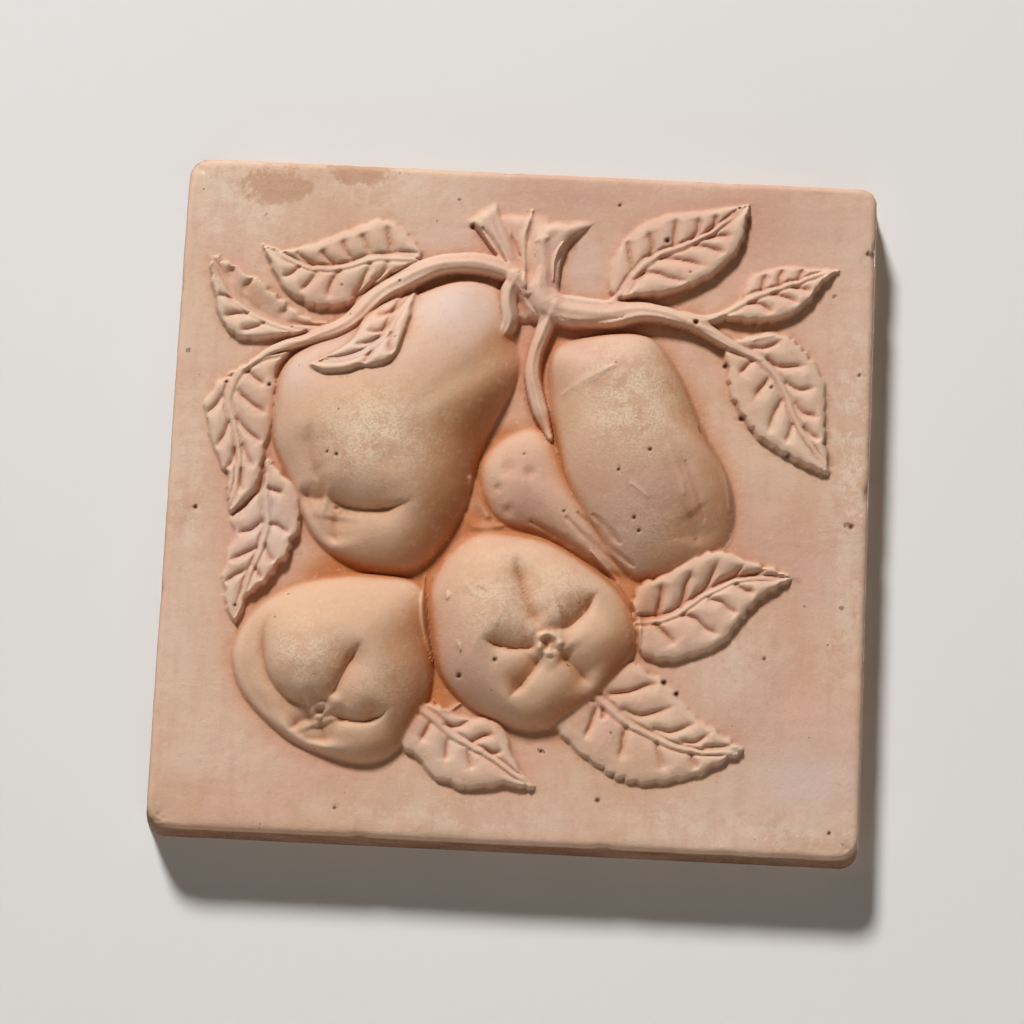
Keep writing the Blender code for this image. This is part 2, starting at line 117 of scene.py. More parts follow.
# Crease: the fruit, its depth, its half width on the left and on the right of its way, and its line from
# the calyx outwards. A wide side is a slope, a narrow one a step.
CREASES = (
    ("upper_pear", 2.6, 1.0, 3.8,
     ((-54, -1), (-49.2, -3.6), (-44, -4.8), (-38, -4.9), (-33, -4), (-27, -1.8))),
    ("upper_pear", 1.3, 1.4, 1.6, ((-49.9, -7), (-50.2, -11), (-49.6, -16))),
    ("upper_pear", 1.4, 1.8, 1.0, ((-53, -2.4), (-57.5, -1.6), (-61.5, 0.8))),
    ("upper_pear", 0.9, 2.8, 1.6, ((-55.1, 2.4), (-57.2, 7.5), (-58.2, 13), (-57.8, 18.5))),
    ("right_pear", 0.7, 0.9, 1.1, ((47, -1), (50.5, -7), (51, -11.5))),
    ("middle_quince", 3.0, 1.5, 2.6, ((8.6, -36.4), (5.6, -32), (3.2, -26), (0.9, -19), (0, -14.5))),
    ("middle_quince", 2.9, 2.6, 1.2,
     ((12.6, -36.2), (15.5, -35.3), (19.3, -32), (22.3, -27.5), (24, -24))),
    ("middle_quince", 2.7, 1.1, 2.6,
     ((7.6, -40.6), (4, -41.9), (-1, -42.2), (-5.5, -41.2), (-9, -39.3))),
    ("middle_quince", 2.8, 1.2, 2.8, ((9, -43.4), (7.2, -47), (4.2, -51.4), (-0.5, -56.6))),
    ("middle_quince", 2.2, 2.3, 1.4, ((13.6, -42.4), (17, -46), (20.6, -49.3), (24, -52.2))),
    ("lower_quince", 2.4, 1.1, 2.8, ((-49.6, -58.4), (-46.2, -52.6), (-42.7, -46), (-40.2, -41.4))),
    ("lower_quince", 2.6, 3.0, 1.0,
     ((-49.2, -62.2), (-44.6, -63.9), (-39.5, -64.1), (-35, -62.6), (-31, -59.6))),
    ("lower_quince", 3.2, 3.4, 1.8,
     ((-53.4, -60.4), (-59.3, -59), (-64.4, -55.4), (-67.6, -48.8), (-68.2, -41), (-66, -33))),
    ("lower_quince", 1.6, 1.4, 1.8, ((-53.2, -62.6), (-57.5, -64.6), (-60.5, -67.2))),
    ("lower_quince", 1.7, 1.4, 1.4, ((-51.2, -64.4), (-50.2, -67.8), (-49.8, -71.5))),
)
CREASE_BLUNTNESS = 0.35
CREASE_VALLEY_DEPTH = 2.1
CREASE_VALLEY_WIDTH = 6.0
CREASE_MARGIN = 16
CREASE_WAVER = 0.3
FRUIT_BLEND = 1.0
FRUIT_TO_FRUIT_BLEND = 0.35
FAR_BELOW = -5.0

# Unevenness of the fruit: rise, size and seed
FRUIT_LUMPS = ((0.22, 13, 40), (0.06, 3.5, 50))

# Calyx: the fruit, its middle, the ring's radius and rise, its sepals, and how deep the hole in it is
CALYXES = (
    ("upper_pear", (-50.2, -5), 1.1, 0.35, 3, 0.9), ("middle_quince", (10.6, -40.2), 2.5, 1.9, 5, 0.0),
    ("lower_quince", (-51.4, -61.4), 1.7, 0.9, 4, 0.0),
)
CALYX_DISH_RADIUS = 5.5
CALYX_DISH_DEPTH = 0.9

# Leaf: its outline, its rib from base to tip, its side veins from the rib outwards, the heights of the
# blade on the left and on the right of the rib's way (beside the rib, half way out and at the edge), the
# depth of its teeth, how puffed up it is between its veins, and the fruit that it lies over
LEAVES = {
    "top_left": {
        "outline": (
            (-76.3, 70.8), (-70.5, 69.6), (-65, 70.6), (-59.5, 72.8), (-54.5, 75), (-49, 77.6),
            (-43, 79.8), (-37.5, 78.6), (-33, 74.6), (-30, 69.7), (-32, 66), (-38, 63.2), (-42, 60.4),
            (-46.8, 58), (-49.8, 53.8), (-54.5, 52.6), (-60, 52.4), (-65, 54.4), (-69.5, 57.4),
            (-72, 61.2), (-74, 65),
        ),
        "rib": (
            (-30, 67.8), (-37, 68.2), (-44, 67.6), (-49, 65.9), (-54, 64.4), (-60, 64), (-66, 65.4),
            (-75.6, 69.8),
        ),
        "veins": (
            ((-40, 66), (-41, 63.4), (-45, 59.4)), ((-45, 65.6), (-47, 60), (-50.6, 54.6)),
            ((-53.5, 63.4), (-55.2, 60.6), (-56.7, 54.2)), ((-60, 62.2), (-62, 59.4), (-64.8, 56.4)),
            ((-65, 64.2), (-67, 62.2), (-70.4, 60.7)), ((-38.9, 70), (-40, 74), (-41, 78)),
            ((-45.6, 69.6), (-46.6, 72), (-48, 75)), ((-50, 67.2), (-51.8, 69.6), (-53.5, 73)),
            ((-55.6, 65.6), (-57, 66.8), (-59.4, 69.6)), ((-61, 65.2), (-63.4, 66.4), (-67, 68.8)),
        ),
        "left": (2.1, 2.7, 1.8), "right": (0.9, 2.3, 0.9), "teeth": 0.35,
    },
    "far_left": {
        "outline": (
            (-90.7, 66.8), (-86.5, 65.6), (-82.4, 64), (-79.4, 61.2), (-76.4, 60.9), (-73, 57.8),
            (-69.6, 55.4), (-65, 51.8), (-60, 49.4), (-54, 48.2), (-54, 46), (-62, 44.6), (-70, 43.2),
            (-77, 42.4), (-81, 42.4), (-84.4, 44.6), (-87.4, 49.4), (-89, 55), (-90.3, 60.5),
        ),
        "rib": (
            (-55, 46.4), (-62, 46), (-68, 46.8), (-73, 48.2), (-78, 50.6), (-83, 54.4), (-87, 59.4),
            (-90.4, 66),
        ),
        "veins": (
            ((-74, 47.3), (-76.6, 46), (-81, 44.9)), ((-78.4, 50.2), (-82, 49.6), (-86.4, 48.8)),
            ((-82.4, 53.6), (-85, 54.8), (-88.4, 54.8)), ((-69, 50.4), (-68, 51.6), (-66.6, 53)),
            ((-80, 58), (-78, 60), (-76.4, 61)), ((-84.6, 60.6), (-84, 62), (-82.4, 63.8)),
        ),
        "left": (2.1, 2.6, 1.9), "right": (-0.1, 0.7, 2.5), "teeth": 0.5,
    },
    "over_pear": {
        "outline": (
            (-30.8, 59.6), (-31.5, 54), (-32.2, 47.7), (-33.5, 42.6), (-35.5, 37.3), (-39, 34.6),
            (-42, 33.8), (-45, 33.6), (-49, 32.2), (-53, 31.6), (-57, 32.2), (-60.2, 35.2), (-54.5, 38),
            (-49.5, 42), (-47.6, 45.2), (-46.8, 48.6), (-44.2, 52.8), (-41.5, 56.2), (-37.5, 59.4),
            (-34, 61.2), (-31, 63),
        ),
        "rib": (
            (-30, 61.6), (-32.9, 57.6), (-35.1, 53.8), (-37, 49.7), (-38.5, 45.1), (-41.5, 40.7),
            (-45.5, 37.6), (-51.5, 35.9), (-59.4, 35.3),
        ),
        "veins": (
            ((-34.8, 54.6), (-37.3, 51.9), (-40, 50.4), (-43.4, 50.2)),
            ((-37.4, 48.8), (-39, 46.1), (-41.5, 44.8), (-45.2, 44.6)),
            ((-39.8, 43.6), (-43.5, 41.4), (-48.4, 40.2)), ((-37.6, 44), (-37.6, 40), (-36.2, 37)),
            ((-42.6, 39), (-43.6, 36.2), (-44.4, 34)),
        ),
        "left": (1.3, 2.3, 1.3), "right": (0.8, 2.6, 1.3), "teeth": 0.1, "puff": 1.7,
        "over": ("upper_pear",),
    },
    "left_upper": {
        "outline": (
            (-65, 40.5), (-70, 39.6), (-76, 37.8), (-82, 34), (-86.6, 30.6), (-88, 27.5), (-90, 23.6),
            (-88.8, 19.8), (-88, 15), (-86.4, 11.4), (-85.4, 9), (-83.6, 5.2), (-82, 4), (-81.8, -1),
            (-80.2, -7.4), (-77, -5), (-74, -1.8), (-72, 2), (-71.3, 7), (-71, 12), (-69.4, 17),
            (-68.6, 23), (-68.8, 29), (-69, 34), (-66.4, 38.8),
        ),
        "rib": (
            (-66, 40.2), (-74, 37.6), (-80.2, 32.4), (-82.6, 25), (-80.4, 17.5), (-78.5, 9), (-78.8, 1),
            (-80.1, -7),
        ),
        "veins": (
            ((-80, 27.4), (-77, 24.9), (-71, 21)), ((-79.6, 19.4), (-77, 16.7), (-71.4, 12.2)),
            ((-77.8, 33.4), (-75, 31), (-71.6, 29.6)), ((-77.6, 12), (-76, 8.6), (-73.6, 5)),
            ((-84.6, 25.6), (-87, 22.4), (-89.4, 20)), ((-82, 18.6), (-83.4, 14.4), (-85.5, 10)),
            ((-79.6, 11), (-80.4, 7.4), (-82.4, 4.6)), ((-77.6, 5), (-77.6, 1), (-77.2, -2)),
            ((-82, 32), (-84.4, 31.4), (-86.4, 30.6)),
        ),
        "left": (2.0, 2.6, 1.6), "right": (1.8, 2.2, 1.1), "teeth": 0.3,
    },
    "left_lower": {
        "outline": (
            (-71, 9), (-66, 5), (-61, 0), (-60, -7), (-60.4, -12.5), (-62.4, -14.6), (-62.4, -18),
            (-65.4, -21.6), (-67.4, -25), (-72, -28.8), (-74, -31), (-74.4, -34), (-76.8, -38),
            (-79.4, -35.5), (-80.6, -32), (-81, -28), (-82, -25), (-81, -21.5), (-80.6, -17), (-79, -13),
            (-80.4, -8.5), (-76, -4), (-72, 1),
        ),
        "rib": (
            (-71.4, 6), (-70.8, -1), (-69.8, -6), (-69.6, -11), (-70.6, -16), (-72.2, -21), (-74.2, -27),
            (-76.6, -36),
        ),
        "veins": (
            ((-70, 0), (-67.6, -0.6), (-64.6, -1.6)), ((-68.6, -10), (-66, -10.4), (-62.4, -12.6)),
            ((-69.6, -16), (-68.6, -18), (-66.2, -21.4)), ((-71.2, -9.2), (-74, -11.6), (-78.4, -13.2)),
            ((-72.2, -16.6), (-75.5, -18.4), (-80.2, -21)), ((-75, -23.2), (-78, -24.8), (-81.2, -27.2)),
            ((-72.6, -22), (-71, -24), (-69.6, -26)),
        ),
        "left": (2.4, 3.1, 3.0), "right": (2.0, 2.1, 0.8), "teeth": 0.35,
    },
    "top_right": {
        "outline": (
            (26, 58.8), (22.6, 61), (22, 65), (22.6, 70), (25, 75), (29, 79.8), (33, 82.8), (38, 85),
            (44, 86), (50, 87), (56, 88), (61.8, 88.8), (61.6, 84), (61, 79.4), (59.6, 75.6), (57, 71.6),
            (54.4, 69.2), (51.6, 66.6), (48, 64.4), (43, 62.2), (38, 60.4), (32, 59.6),
        ),
        "rib": (
            (26.5, 59.8), (29.4, 65), (32.6, 69.4), (37, 72.6), (43, 75), (48, 77.6), (53, 81.2),
            (61, 88),
        ),
        "veins": (
            ((29.8, 64.6), (32.5, 66.8), (36.5, 66.9), (41, 65.2), (46.4, 64.8)),
            ((37.4, 71.2), (41, 71.6), (45, 70.8), (51, 69.2)), ((47, 75.4), (50, 75.2), (55.6, 73.4)),
            ((50.4, 78), (53.4, 78.8), (57.4, 78.6)), ((29.4, 68), (28.3, 72.6), (27.4, 77.4)),
            ((34, 71.6), (34.6, 75.4), (32.8, 79.6)), ((40.6, 75), (40.9, 79), (41, 84)),
            ((45.6, 77.4), (47.2, 80), (47.6, 84.4)), ((50, 80), (51.8, 82), (52.4, 85.4)),
            ((55.4, 83.6), (57.4, 85), (58, 87)),
        ),
        "left": (2.0, 1.9, 0.8), "right": (2.0, 3.2, 3.1), "teeth": 0.2,
    },
    "small_right": {
        "outline": (
            (52, 55), (56, 58.4), (59.4, 61.4), (61, 65.4), (63.6, 68.8), (67, 70), (71.6, 71.6),
            (78, 71.4), (87.6, 71), (84.8, 68), (82.4, 65), (80.6, 61.6), (77.6, 58.8), (74.2, 56.2),
            (70, 54.6), (64, 54.2), (57, 54.4),
        ),
        "rib": ((53, 54.8), (58, 58.2), (63, 61), (69, 63.6), (76, 66.2), (82, 68.8), (87.2, 70.9)),
        "veins": (
            ((60.6, 60.8), (60.8, 63.4), (61.6, 67)), ((66, 63.4), (66.4, 66), (67.4, 69)),
            ((71, 65.2), (71, 67.6), (72.2, 70.6)), ((76.6, 67.4), (77, 69), (78, 70.6)),
            ((63, 59.6), (66.4, 59), (70, 56.8)), ((69.4, 62.4), (73, 61.6), (77, 60)),
            ((75, 65), (78, 64.4), (81, 63.6)),
        ),
        "left": (1.8, 1.6, 0.7), "right": (2.2, 3.0, 3.0), "teeth": 0.25,
    },
    "hanging_right": {
        "outline": (
            (55.4, 47), (56.6, 41.4), (57, 37), (58.2, 32.6), (60.6, 28.6), (62.4, 25.6), (65.4, 22),
            (69.4, 19), (74, 16.4), (78.4, 14.2), (82, 12.8), (86.8, 11.8), (86.4, 17), (85.8, 23),
            (85.6, 29), (85.4, 34), (84.8, 39), (83, 42.4), (80.8, 45), (77.6, 48.6), (74, 51.4),
            (68, 52.2), (62, 50.6), (58, 49),
        ),
        "rib": (
            (57, 47), (64, 44.6), (68.6, 41.4), (71.6, 38), (73.8, 33.4), (76, 28.4), (79, 22.8),
            (86.4, 12.4),
        ),
        "veins": (
            ((64, 46.8), (68, 47.2), (73, 49.8)), ((68.4, 43.6), (71, 41.9), (75, 41.9), (80, 42.8)),
            ((74, 37.2), (77.4, 35.5), (82.4, 36)), ((76.8, 31.4), (79.4, 28.6), (83.8, 27.6)),
            ((79.4, 24.4), (81.6, 22.4), (84.6, 21.4)), ((63.6, 43), (62, 40.4), (60.4, 38.6)),
            ((68.6, 37.8), (66.6, 34.8), (65, 31.6)), ((72.4, 32), (70.6, 27.4), (69, 21.8)),
            ((75.9, 25.4), (75, 22.6), (74.1, 19.2)),
        ),
        "left": (1.9, 2.3, 1.4), "right": (1.9, 2.6, 2.0), "teeth": 0.4,
    },
    "beside_quince": {
        "outline": (
            (33, -32), (33, -26), (35, -21), (39, -19.4), (42, -18.2), (45, -15.8), (50, -13),
            (54, -11.2), (59, -11), (63, -12.4), (68, -14), (72, -15), (77.6, -17.8), (74, -20.8),
            (70.4, -23), (68, -25.6), (65.4, -28.8), (62.6, -32.6), (59.4, -36.6), (54.4, -39.8),
            (49, -41.8), (44, -43.2), (39, -42.6), (35.4, -41), (34, -36),
        ),
        "rib": (
            (25, -30.5), (33, -32), (40, -31.6), (45, -29.6), (49, -26.8), (53, -23.8), (58, -21),
            (64, -18.9), (77, -17.9),
        ),
        "veins": (
            ((40.3, -30), (41, -25.4), (41.2, -20.4)), ((46.6, -27.8), (48, -21.4), (49.8, -16.6)),
            ((50, -25.4), (54, -20.6), (57.2, -13)), ((56, -21), (61.2, -18.4), (64.2, -14.2)),
            ((62.4, -18.4), (67, -17), (71, -16)),
            ((47.6, -29.8), (51.4, -30.8), (54.2, -33.6), (58.6, -35)),
            ((54.8, -25), (58, -25.6), (60.4, -27.8), (63.4, -28.6)),
            ((40, -32.8), (43, -35.6), (46, -39)), ((62, -20.8), (64.4, -22.2), (67.6, -22.4)),
        ),
        "left": (0.7, 2.3, 2.3), "right": (2.1, 2.5, 1.9), "teeth": 0.5, "puff": 1.25,
    },
    "bottom_right": {
        "outline": (
            (20, -50), (28, -44), (35, -43.2), (38.8, -45.6), (42, -47.2), (44.8, -49.6), (48.4, -53),
            (52.6, -57.4), (57, -60), (61, -62.6), (66.4, -66.6), (62.6, -68.8), (59, -71), (54.4, -73.8),
            (50, -75), (44, -76.8), (40, -77.4), (36, -77.4), (30, -75.6), (25, -72.8), (21, -70.4),
            (17.4, -67.4), (13, -63), (12, -56),
        ),
        "rib": (
            (23, -52), (29, -57.5), (33, -60.4), (38, -62.9), (43, -65.2), (48, -66.8), (54, -67.6),
            (66.2, -66.9),
        ),
        "veins": (
            ((28.5, -52.6), (33, -52), (38, -49.8), (42.6, -48.9)),
            ((32, -56.8), (36, -58.2), (41, -57.2), (46.6, -55)),
            ((41, -61.8), (45, -62.5), (49, -61), (53, -59.2)), ((49, -64.9), (52.5, -64.7), (56.6, -62)),
            ((55.2, -66), (60, -65.6), (63.6, -65.4)), ((24.6, -57), (23.4, -61), (21.4, -66)),
            ((26.2, -57), (26.4, -58.6), (26.2, -60.4)), ((33, -61.6), (32.2, -66), (31.6, -71.4)),
            ((41.6, -65.6), (42.5, -69), (44.2, -73.4)), ((51, -68.4), (51.6, -70.2), (53.4, -72.4)),
        ),
        "left": (1.7, 2.2, 0.9), "right": (2.0, 2.2, 1.6), "teeth": 0.62,
    },
    "bottom_middle": {
        "outline": (
            (-24, -57), (-17, -58.4), (-11, -60.8), (-6, -60.4), (-2, -61.6), (0.4, -65), (2.2, -70),
            (5, -74.6), (8.9, -79.6), (4, -79.8), (0, -79.3), (-4, -80.2), (-8, -80.8), (-12, -81.2),
            (-16, -79.4), (-20, -77.8), (-23.4, -74.2), (-26, -72.2), (-29, -70), (-31, -64),
        ),
        "rib": (
            (-27, -57), (-18.6, -63), (-14.6, -66.2), (-10, -68.6), (-5, -71), (0.4, -74.6), (8.4, -79.4),
        ),
        "veins": (
            ((-17, -63.6), (-13.6, -63.6), (-9.4, -61.6)), ((-9.2, -67.4), (-6.5, -66), (-3, -65.6)),
            ((-5.6, -70), (-3, -70.4), (-0.4, -69.6)), ((-21.4, -63.6), (-22.4, -66), (-23.6, -69)),
            ((-16, -67.8), (-16.2, -71), (-16.4, -74)), ((-10.4, -70.6), (-9.6, -73), (-8.7, -76)),
        ),
        "left": (1.9, 2.2, 1.3), "right": (2.1, 2.4, 1.8), "teeth": 0.35,
    },
}
LEAF_PUFF = 0.9
LEAF_MARGIN = 4
VEIN_DEPTH = 0.85
VEIN_WIDTH = 0.62
LEAF_WALL = 0.95
LEAF_WAVER = 0.22
LEAF_BLEND = 0.3
LEAF_SEED = 100
RIB_HALF_WIDTH = 0.8
RIB_RISE = 0.95
RIB_GROOVE = 0.45
PILLOW_WIDTH = 1.9
TOOTH_PITCH = 4.6
TOOTH_SLANT = 0.7

# Twig or stalk: its middle line, its half width at even steps along it, how far its crest leans to the
# left (minus for right), the line that its cut end stops at, its rise, and the fruit that it lies over
TWIGS = {
    "left_branch": {
        "line": (
            (0, 60.5), (-5, 65), (-13, 67.4), (-24, 67), (-34, 62.2), (-43, 56), (-51, 47.6), (-60, 43.7),
            (-71, 39.8), (-79, 34),
        ),
        "half_widths": (2.6, 3.2, 3.2, 3.2, 3.3, 3.2, 2.7, 2.1, 1.4, 0.7), "lean": 0.45, "rise": 4.7,
        "over": ("upper_pear",),
    },
    "right_branch": {
        "line": (
            (3.4, 66), (4, 60), (8.5, 55.8), (16, 54.8), (25, 54.8), (34, 55.8), (42, 54.6), (49, 52),
            (60, 46.2), (66, 43.5),
        ),
        "half_widths": (1.4, 4.2, 5.0, 4.6, 3.6, 2.7, 2.4, 2.2, 1.7, 0.8), "lean": -0.45, "rise": 4.7,
    },
    "leaf_stalk": {
        "line": ((44, 55), (50, 54.2), (56, 56.4), (61, 59.5)), "half_widths": (1.9, 1.8, 1.3, 0.6),
        "rise": 3.6,
    },
    "top_leaf_stalk": {
        "line": ((22, 57), (26.5, 60.5), (30, 64)), "half_widths": (1.4, 1.1, 0.6), "rise": 3.4,
    },
    "far_leaf_stalk": {
        "line": ((-50, 46.5), (-58, 46.3), (-66, 46.8)), "half_widths": (1.6, 1.2, 0.6), "rise": 3.4,
    },
    "upper_pear_stalk": {
        "line": ((-3.2, 64), (-5, 60), (-5.3, 56), (-4.9, 52), (-5.6, 48), (-7.6, 44)),
        "half_widths": (2.4, 2.9, 2.9, 2.6, 2.0, 0.8), "rise": 5.0, "lean": -0.35,
    },
    "knot": {"line": ((-4, 63.6), (0, 60.4), (4, 56.4)), "half_widths": (3.0, 4.0, 3.6), "rise": 4.3},
    "right_pear_stalk": {
        "line": ((7.5, 56.5), (4.8, 48.6), (3, 42), (2.7, 35), (4.4, 28), (8.4, 18)),
        "half_widths": (2.9, 2.4, 2.3, 2.4, 2.3, 1.0), "rise": 4.2, "over": ("small_fruit",),
    },
    "knot_web": {
        "line": ((-1, 56), (-1.6, 66), (-2.4, 76), (-3, 86)), "half_widths": (4.5, 5.0, 7.0, 8.0),
        "end": ((-12, 84), (8, 84)), "rise": 2.0,
    },
    "left_stub": {
        "line": ((-1.5, 62), (-4.8, 67), (-7.4, 72), (-10.6, 77), (-16, 85)),
        "half_widths": (2.4, 2.2, 2.9, 3.8, 6.0), "lean": 0.45, "end": ((-20.5, 80), (-9, 89)),
        "rise": 3.2,
    },
    "right_stub": {
        "line": ((4.2, 56), (4.2, 66), (5, 74), (10, 86)), "half_widths": (5.0, 4.6, 5.6, 9.6),
        "lean": 0.15, "end": ((-3, 81), (20, 83.6)), "rise": 3.6,
    },
}
TWIG_MARGIN = 14
TWIG_WAVER = 0.3
TWIG_GROOVE = 0.22
TWIG_GROOVE_TURNS = 7.5
TWIG_BLEND = 2.6
WOOD_BLEND = 1.1
TWIG_SEED = 200
STUB_END_SLOPE = 5.0

# Thin raised lines, and scratched ones with a rise below zero: line, half width, rise
LINES = (
    (((-13.4, 5.6), (-11, 0), (-8.4, -4.4)), 1.8, 0.9),
    (((-15, -3.8), (-11.8, -7.6), (-4, -7)), 1.3, 0.5),
    (((-24.8, -22), (-25.1, -31), (-23.8, -39), (-21.4, -46)), 0.5, 0.8),
    (((21, -13.4), (30, -22.5), (35.2, -31), (36, -40)), 0.5, 0.7),
    (((-20.5, -56.5), (-17, -59.4), (-13, -57.2)), 0.6, 0.7),
    (((0.2, 84), (-1, 79), (-1.8, 75), (-1.4, 69), (-0.9, 61)), 1.0, 1.1),
    (((7, 63.6), (7, 68), (7.8, 71.6), (9.4, 74.6)), 0.45, 0.8),
    (((8.4, 63.6), (8.6, 68), (9.4, 71)), 0.4, 0.6),
    (((1.6, 74.4), (3.2, 75), (4.8, 75.4)), 1.3, 0.6),
    (((-13.6, 77.6), (-10, 73), (-6.4, 68)), 0.7, -0.9),
    (((-5.4, 76), (-3.8, 72.4), (-2.6, 70)), 0.6, -0.8),
    (((-1.8, 60.5), (0.2, 57), (3, 53.6)), 0.5, -0.6),
    (((9, 52.4), (14, 51.4), (20, 51.8), (27, 53.2)), 0.5, -0.5),
    (((8, 58.4), (16, 56.8), (24, 57.2)), 0.6, -0.3),
    (((0.6, 29.6), (1.8, 25.4), (3.4, 21)), 0.5, -0.4),
    (((1.7, 28), (3, 24), (5, 20)), 0.5, -0.3),
    (((-34, 64.4), (-37, 63.2), (-40, 61.6)), 0.5, -0.5),
    (((4, -5.6), (12, -9.6), (21, -15), (28, -21)), 1.1, -0.55),
    (((14, -4.6), (19, -9.4), (26, -14.6), (32, -19)), 1.1, -0.55),
    (((17, -3), (22.6, -8), (27, -12.6), (33, -16.8)), 1.1, -0.55),
    (((21, -3.4), (25, -7), (29, -11)), 1.1, -0.55),
    (((11, 30), (18, 34), (25, 37.8)), 1.3, 0.4),
    (((31, 5), (33, 4), (36, 1.6)), 0.5, 0.35),
    (((41, 16), (44, 9), (46, 3)), 0.9, 0.3),
    (((46, 12), (49.6, 4), (52, -3)), 0.9, -0.35),
    (((-9.6, -25.8), (-8, -26.8), (-6.6, -27.6)), 0.35, -0.35),
    (((-13, -25), (-11, -27.4), (-8, -29)), 0.5, 0.25),
    (((-18, -27), (-18, -29)), 0.6, 0.8),
    (((-14.6, -40.6), (-13.6, -43.4)), 0.5, 0.7),
    (((-58.4, 18), (-59, 13), (-58.6, 8), (-56, 3)), 1.6, -0.25),
    (((53, 20), (57.4, 10), (59, 0)), 0.7, 0.3),
    (((64, 48.8), (66, 49.6), (70, 50.6)), 0.5, 0.4),
)

# Pits: place, radius, depth
PITS = (
    ((25, 86.8), 0.55, 0.7), ((38.8, 76.6), 0.9, 0.9), ((-16.5, 78.5), 0.9, 0.8), ((59, 87.2), 0.5, 0.6),
    ((47.7, 53), 0.9, 1.3), ((94.5, 40.7), 0.5, 0.6), ((93.5, -2.5), 0.9, 0.6), ((-83.5, 30), 0.5, 0.8),
    ((-90, -5.7), 0.7, 0.9), ((43, -48.8), 0.8, 1.0), ((46.5, -51.8), 0.8, 1.0), ((9.8, -69.3), 0.6, 0.7),
    ((26, -82), 0.8, 0.5), ((-46.2, -87.6), 0.5, 0.6), ((-4, -45.6), 0.7, 0.8), ((-13.8, -50), 0.8, 0.9),
    ((70.5, -40.7), 0.6, 0.4), ((90, -88), 0.6, 0.7), ((36, 14.6), 0.6, 0.7), ((-71.3, 29.6), 0.6, 0.8),
    ((32.5, -4.2), 0.6, 0.6), ((34, -7.6), 0.6, 0.6), ((27.6, 8.6), 0.5, 0.6), ((-50.5, 9), 0.6, 0.7),
    ((-53.2, 9.8), 0.5, 0.5), ((13, -2.8), 0.5, 0.5), ((1.2, 13), 0.4, 0.4), ((45.6, 67.5), 0.4, 0.4),
    ((69.6, 35.6), 0.6, 0.7), ((-77, -33), 0.5, 0.6), ((-66, 46.8), 0.5, 0.6), ((-36.2, 60.8), 0.5, 0.6),
    ((56.6, 41.4), 0.7, 0.8), ((96, 76), 0.8, 0.5), ((75, 16.6), 0.7, 0.6), ((61.6, 26.6), 0.8, 0.7),
)
PIT_SHARE = 0.8

# Dents: place, radius, depth
DENTS = (
    ((-3, 8.6), 2.2, 0.8), ((3, 7.6), 1.7, 0.7), ((-5.6, 3), 1.2, 0.6), ((-2.6, -3), 1.4, 0.6),
    ((-36, 8), 3, 0.5), ((22, 26), 4, 0.4), ((44, 10), 4, 0.5), ((-58, -52), 3, 0.5),
    ((-10, -28), 3, 0.4), ((70, 5), 5, 0.3), ((78, -50), 6, 0.4), ((-30, -88), 5, 0.3),
    ((60, -86), 5, 0.3), ((-92, -10), 4, 0.3),
)

# Unevenness of the ground: rise, size and seed; its brush marks; and its crusty spots, as strength, place
# and radius each way
GROUND_WAVES = ((0.14, 26, 3), (0.05, 6, 8))
BRUSH_MARKS = 0.035
CRUST_SPOTS = ((1, (-76, -76), (17, 14)), (0.7, (-82, 84), (16, 9)), (0.5, (88, -84), (14, 12)))
CRUST_RISE = 0.16

# Wear of the slab's front edge and of its sides
EDGE_WEAR = 0.16
SIDE_WEAR = 0.22

# Chips out of the slab's front edge: place on the edge, radius, depth
CHIPS = (
    ((-39, -97), 1.8, 0.7), ((28, -97), 1.5, 0.6), ((-97, -96), 3.2, 0.8), ((100, 7), 1.6, 0.9),
    ((-100, 58), 1.6, 0.5), ((100, 76), 1.8, 0.6), ((62, -97), 1.3, 0.5), ((-8, 97), 1.5, 0.5),
    ((98, -95), 2.4, 0.7), ((-98, 95), 3.0, 0.7), ((55, 97), 1.4, 0.5), ((-100, -30), 1.5, 0.5),
)

# What differs from its surroundings, for the fine, middle and broad hollows and for the crests: the grid
# steps around that count, the gain (below zero for what is higher) and how much is let off
CONTRASTS = ((2, 1.3, 0.16), (6, 0.55, 0), (18, 0.16, 0), (3, -2.0, 0))

# Painted shade on fruit flanks away from the light: their way, right and down, and the slopes it begins and
# is full at
FLANK_WAY = (0.86, 0.5)
FLANK_SLOPES = (0.12, 1.1)

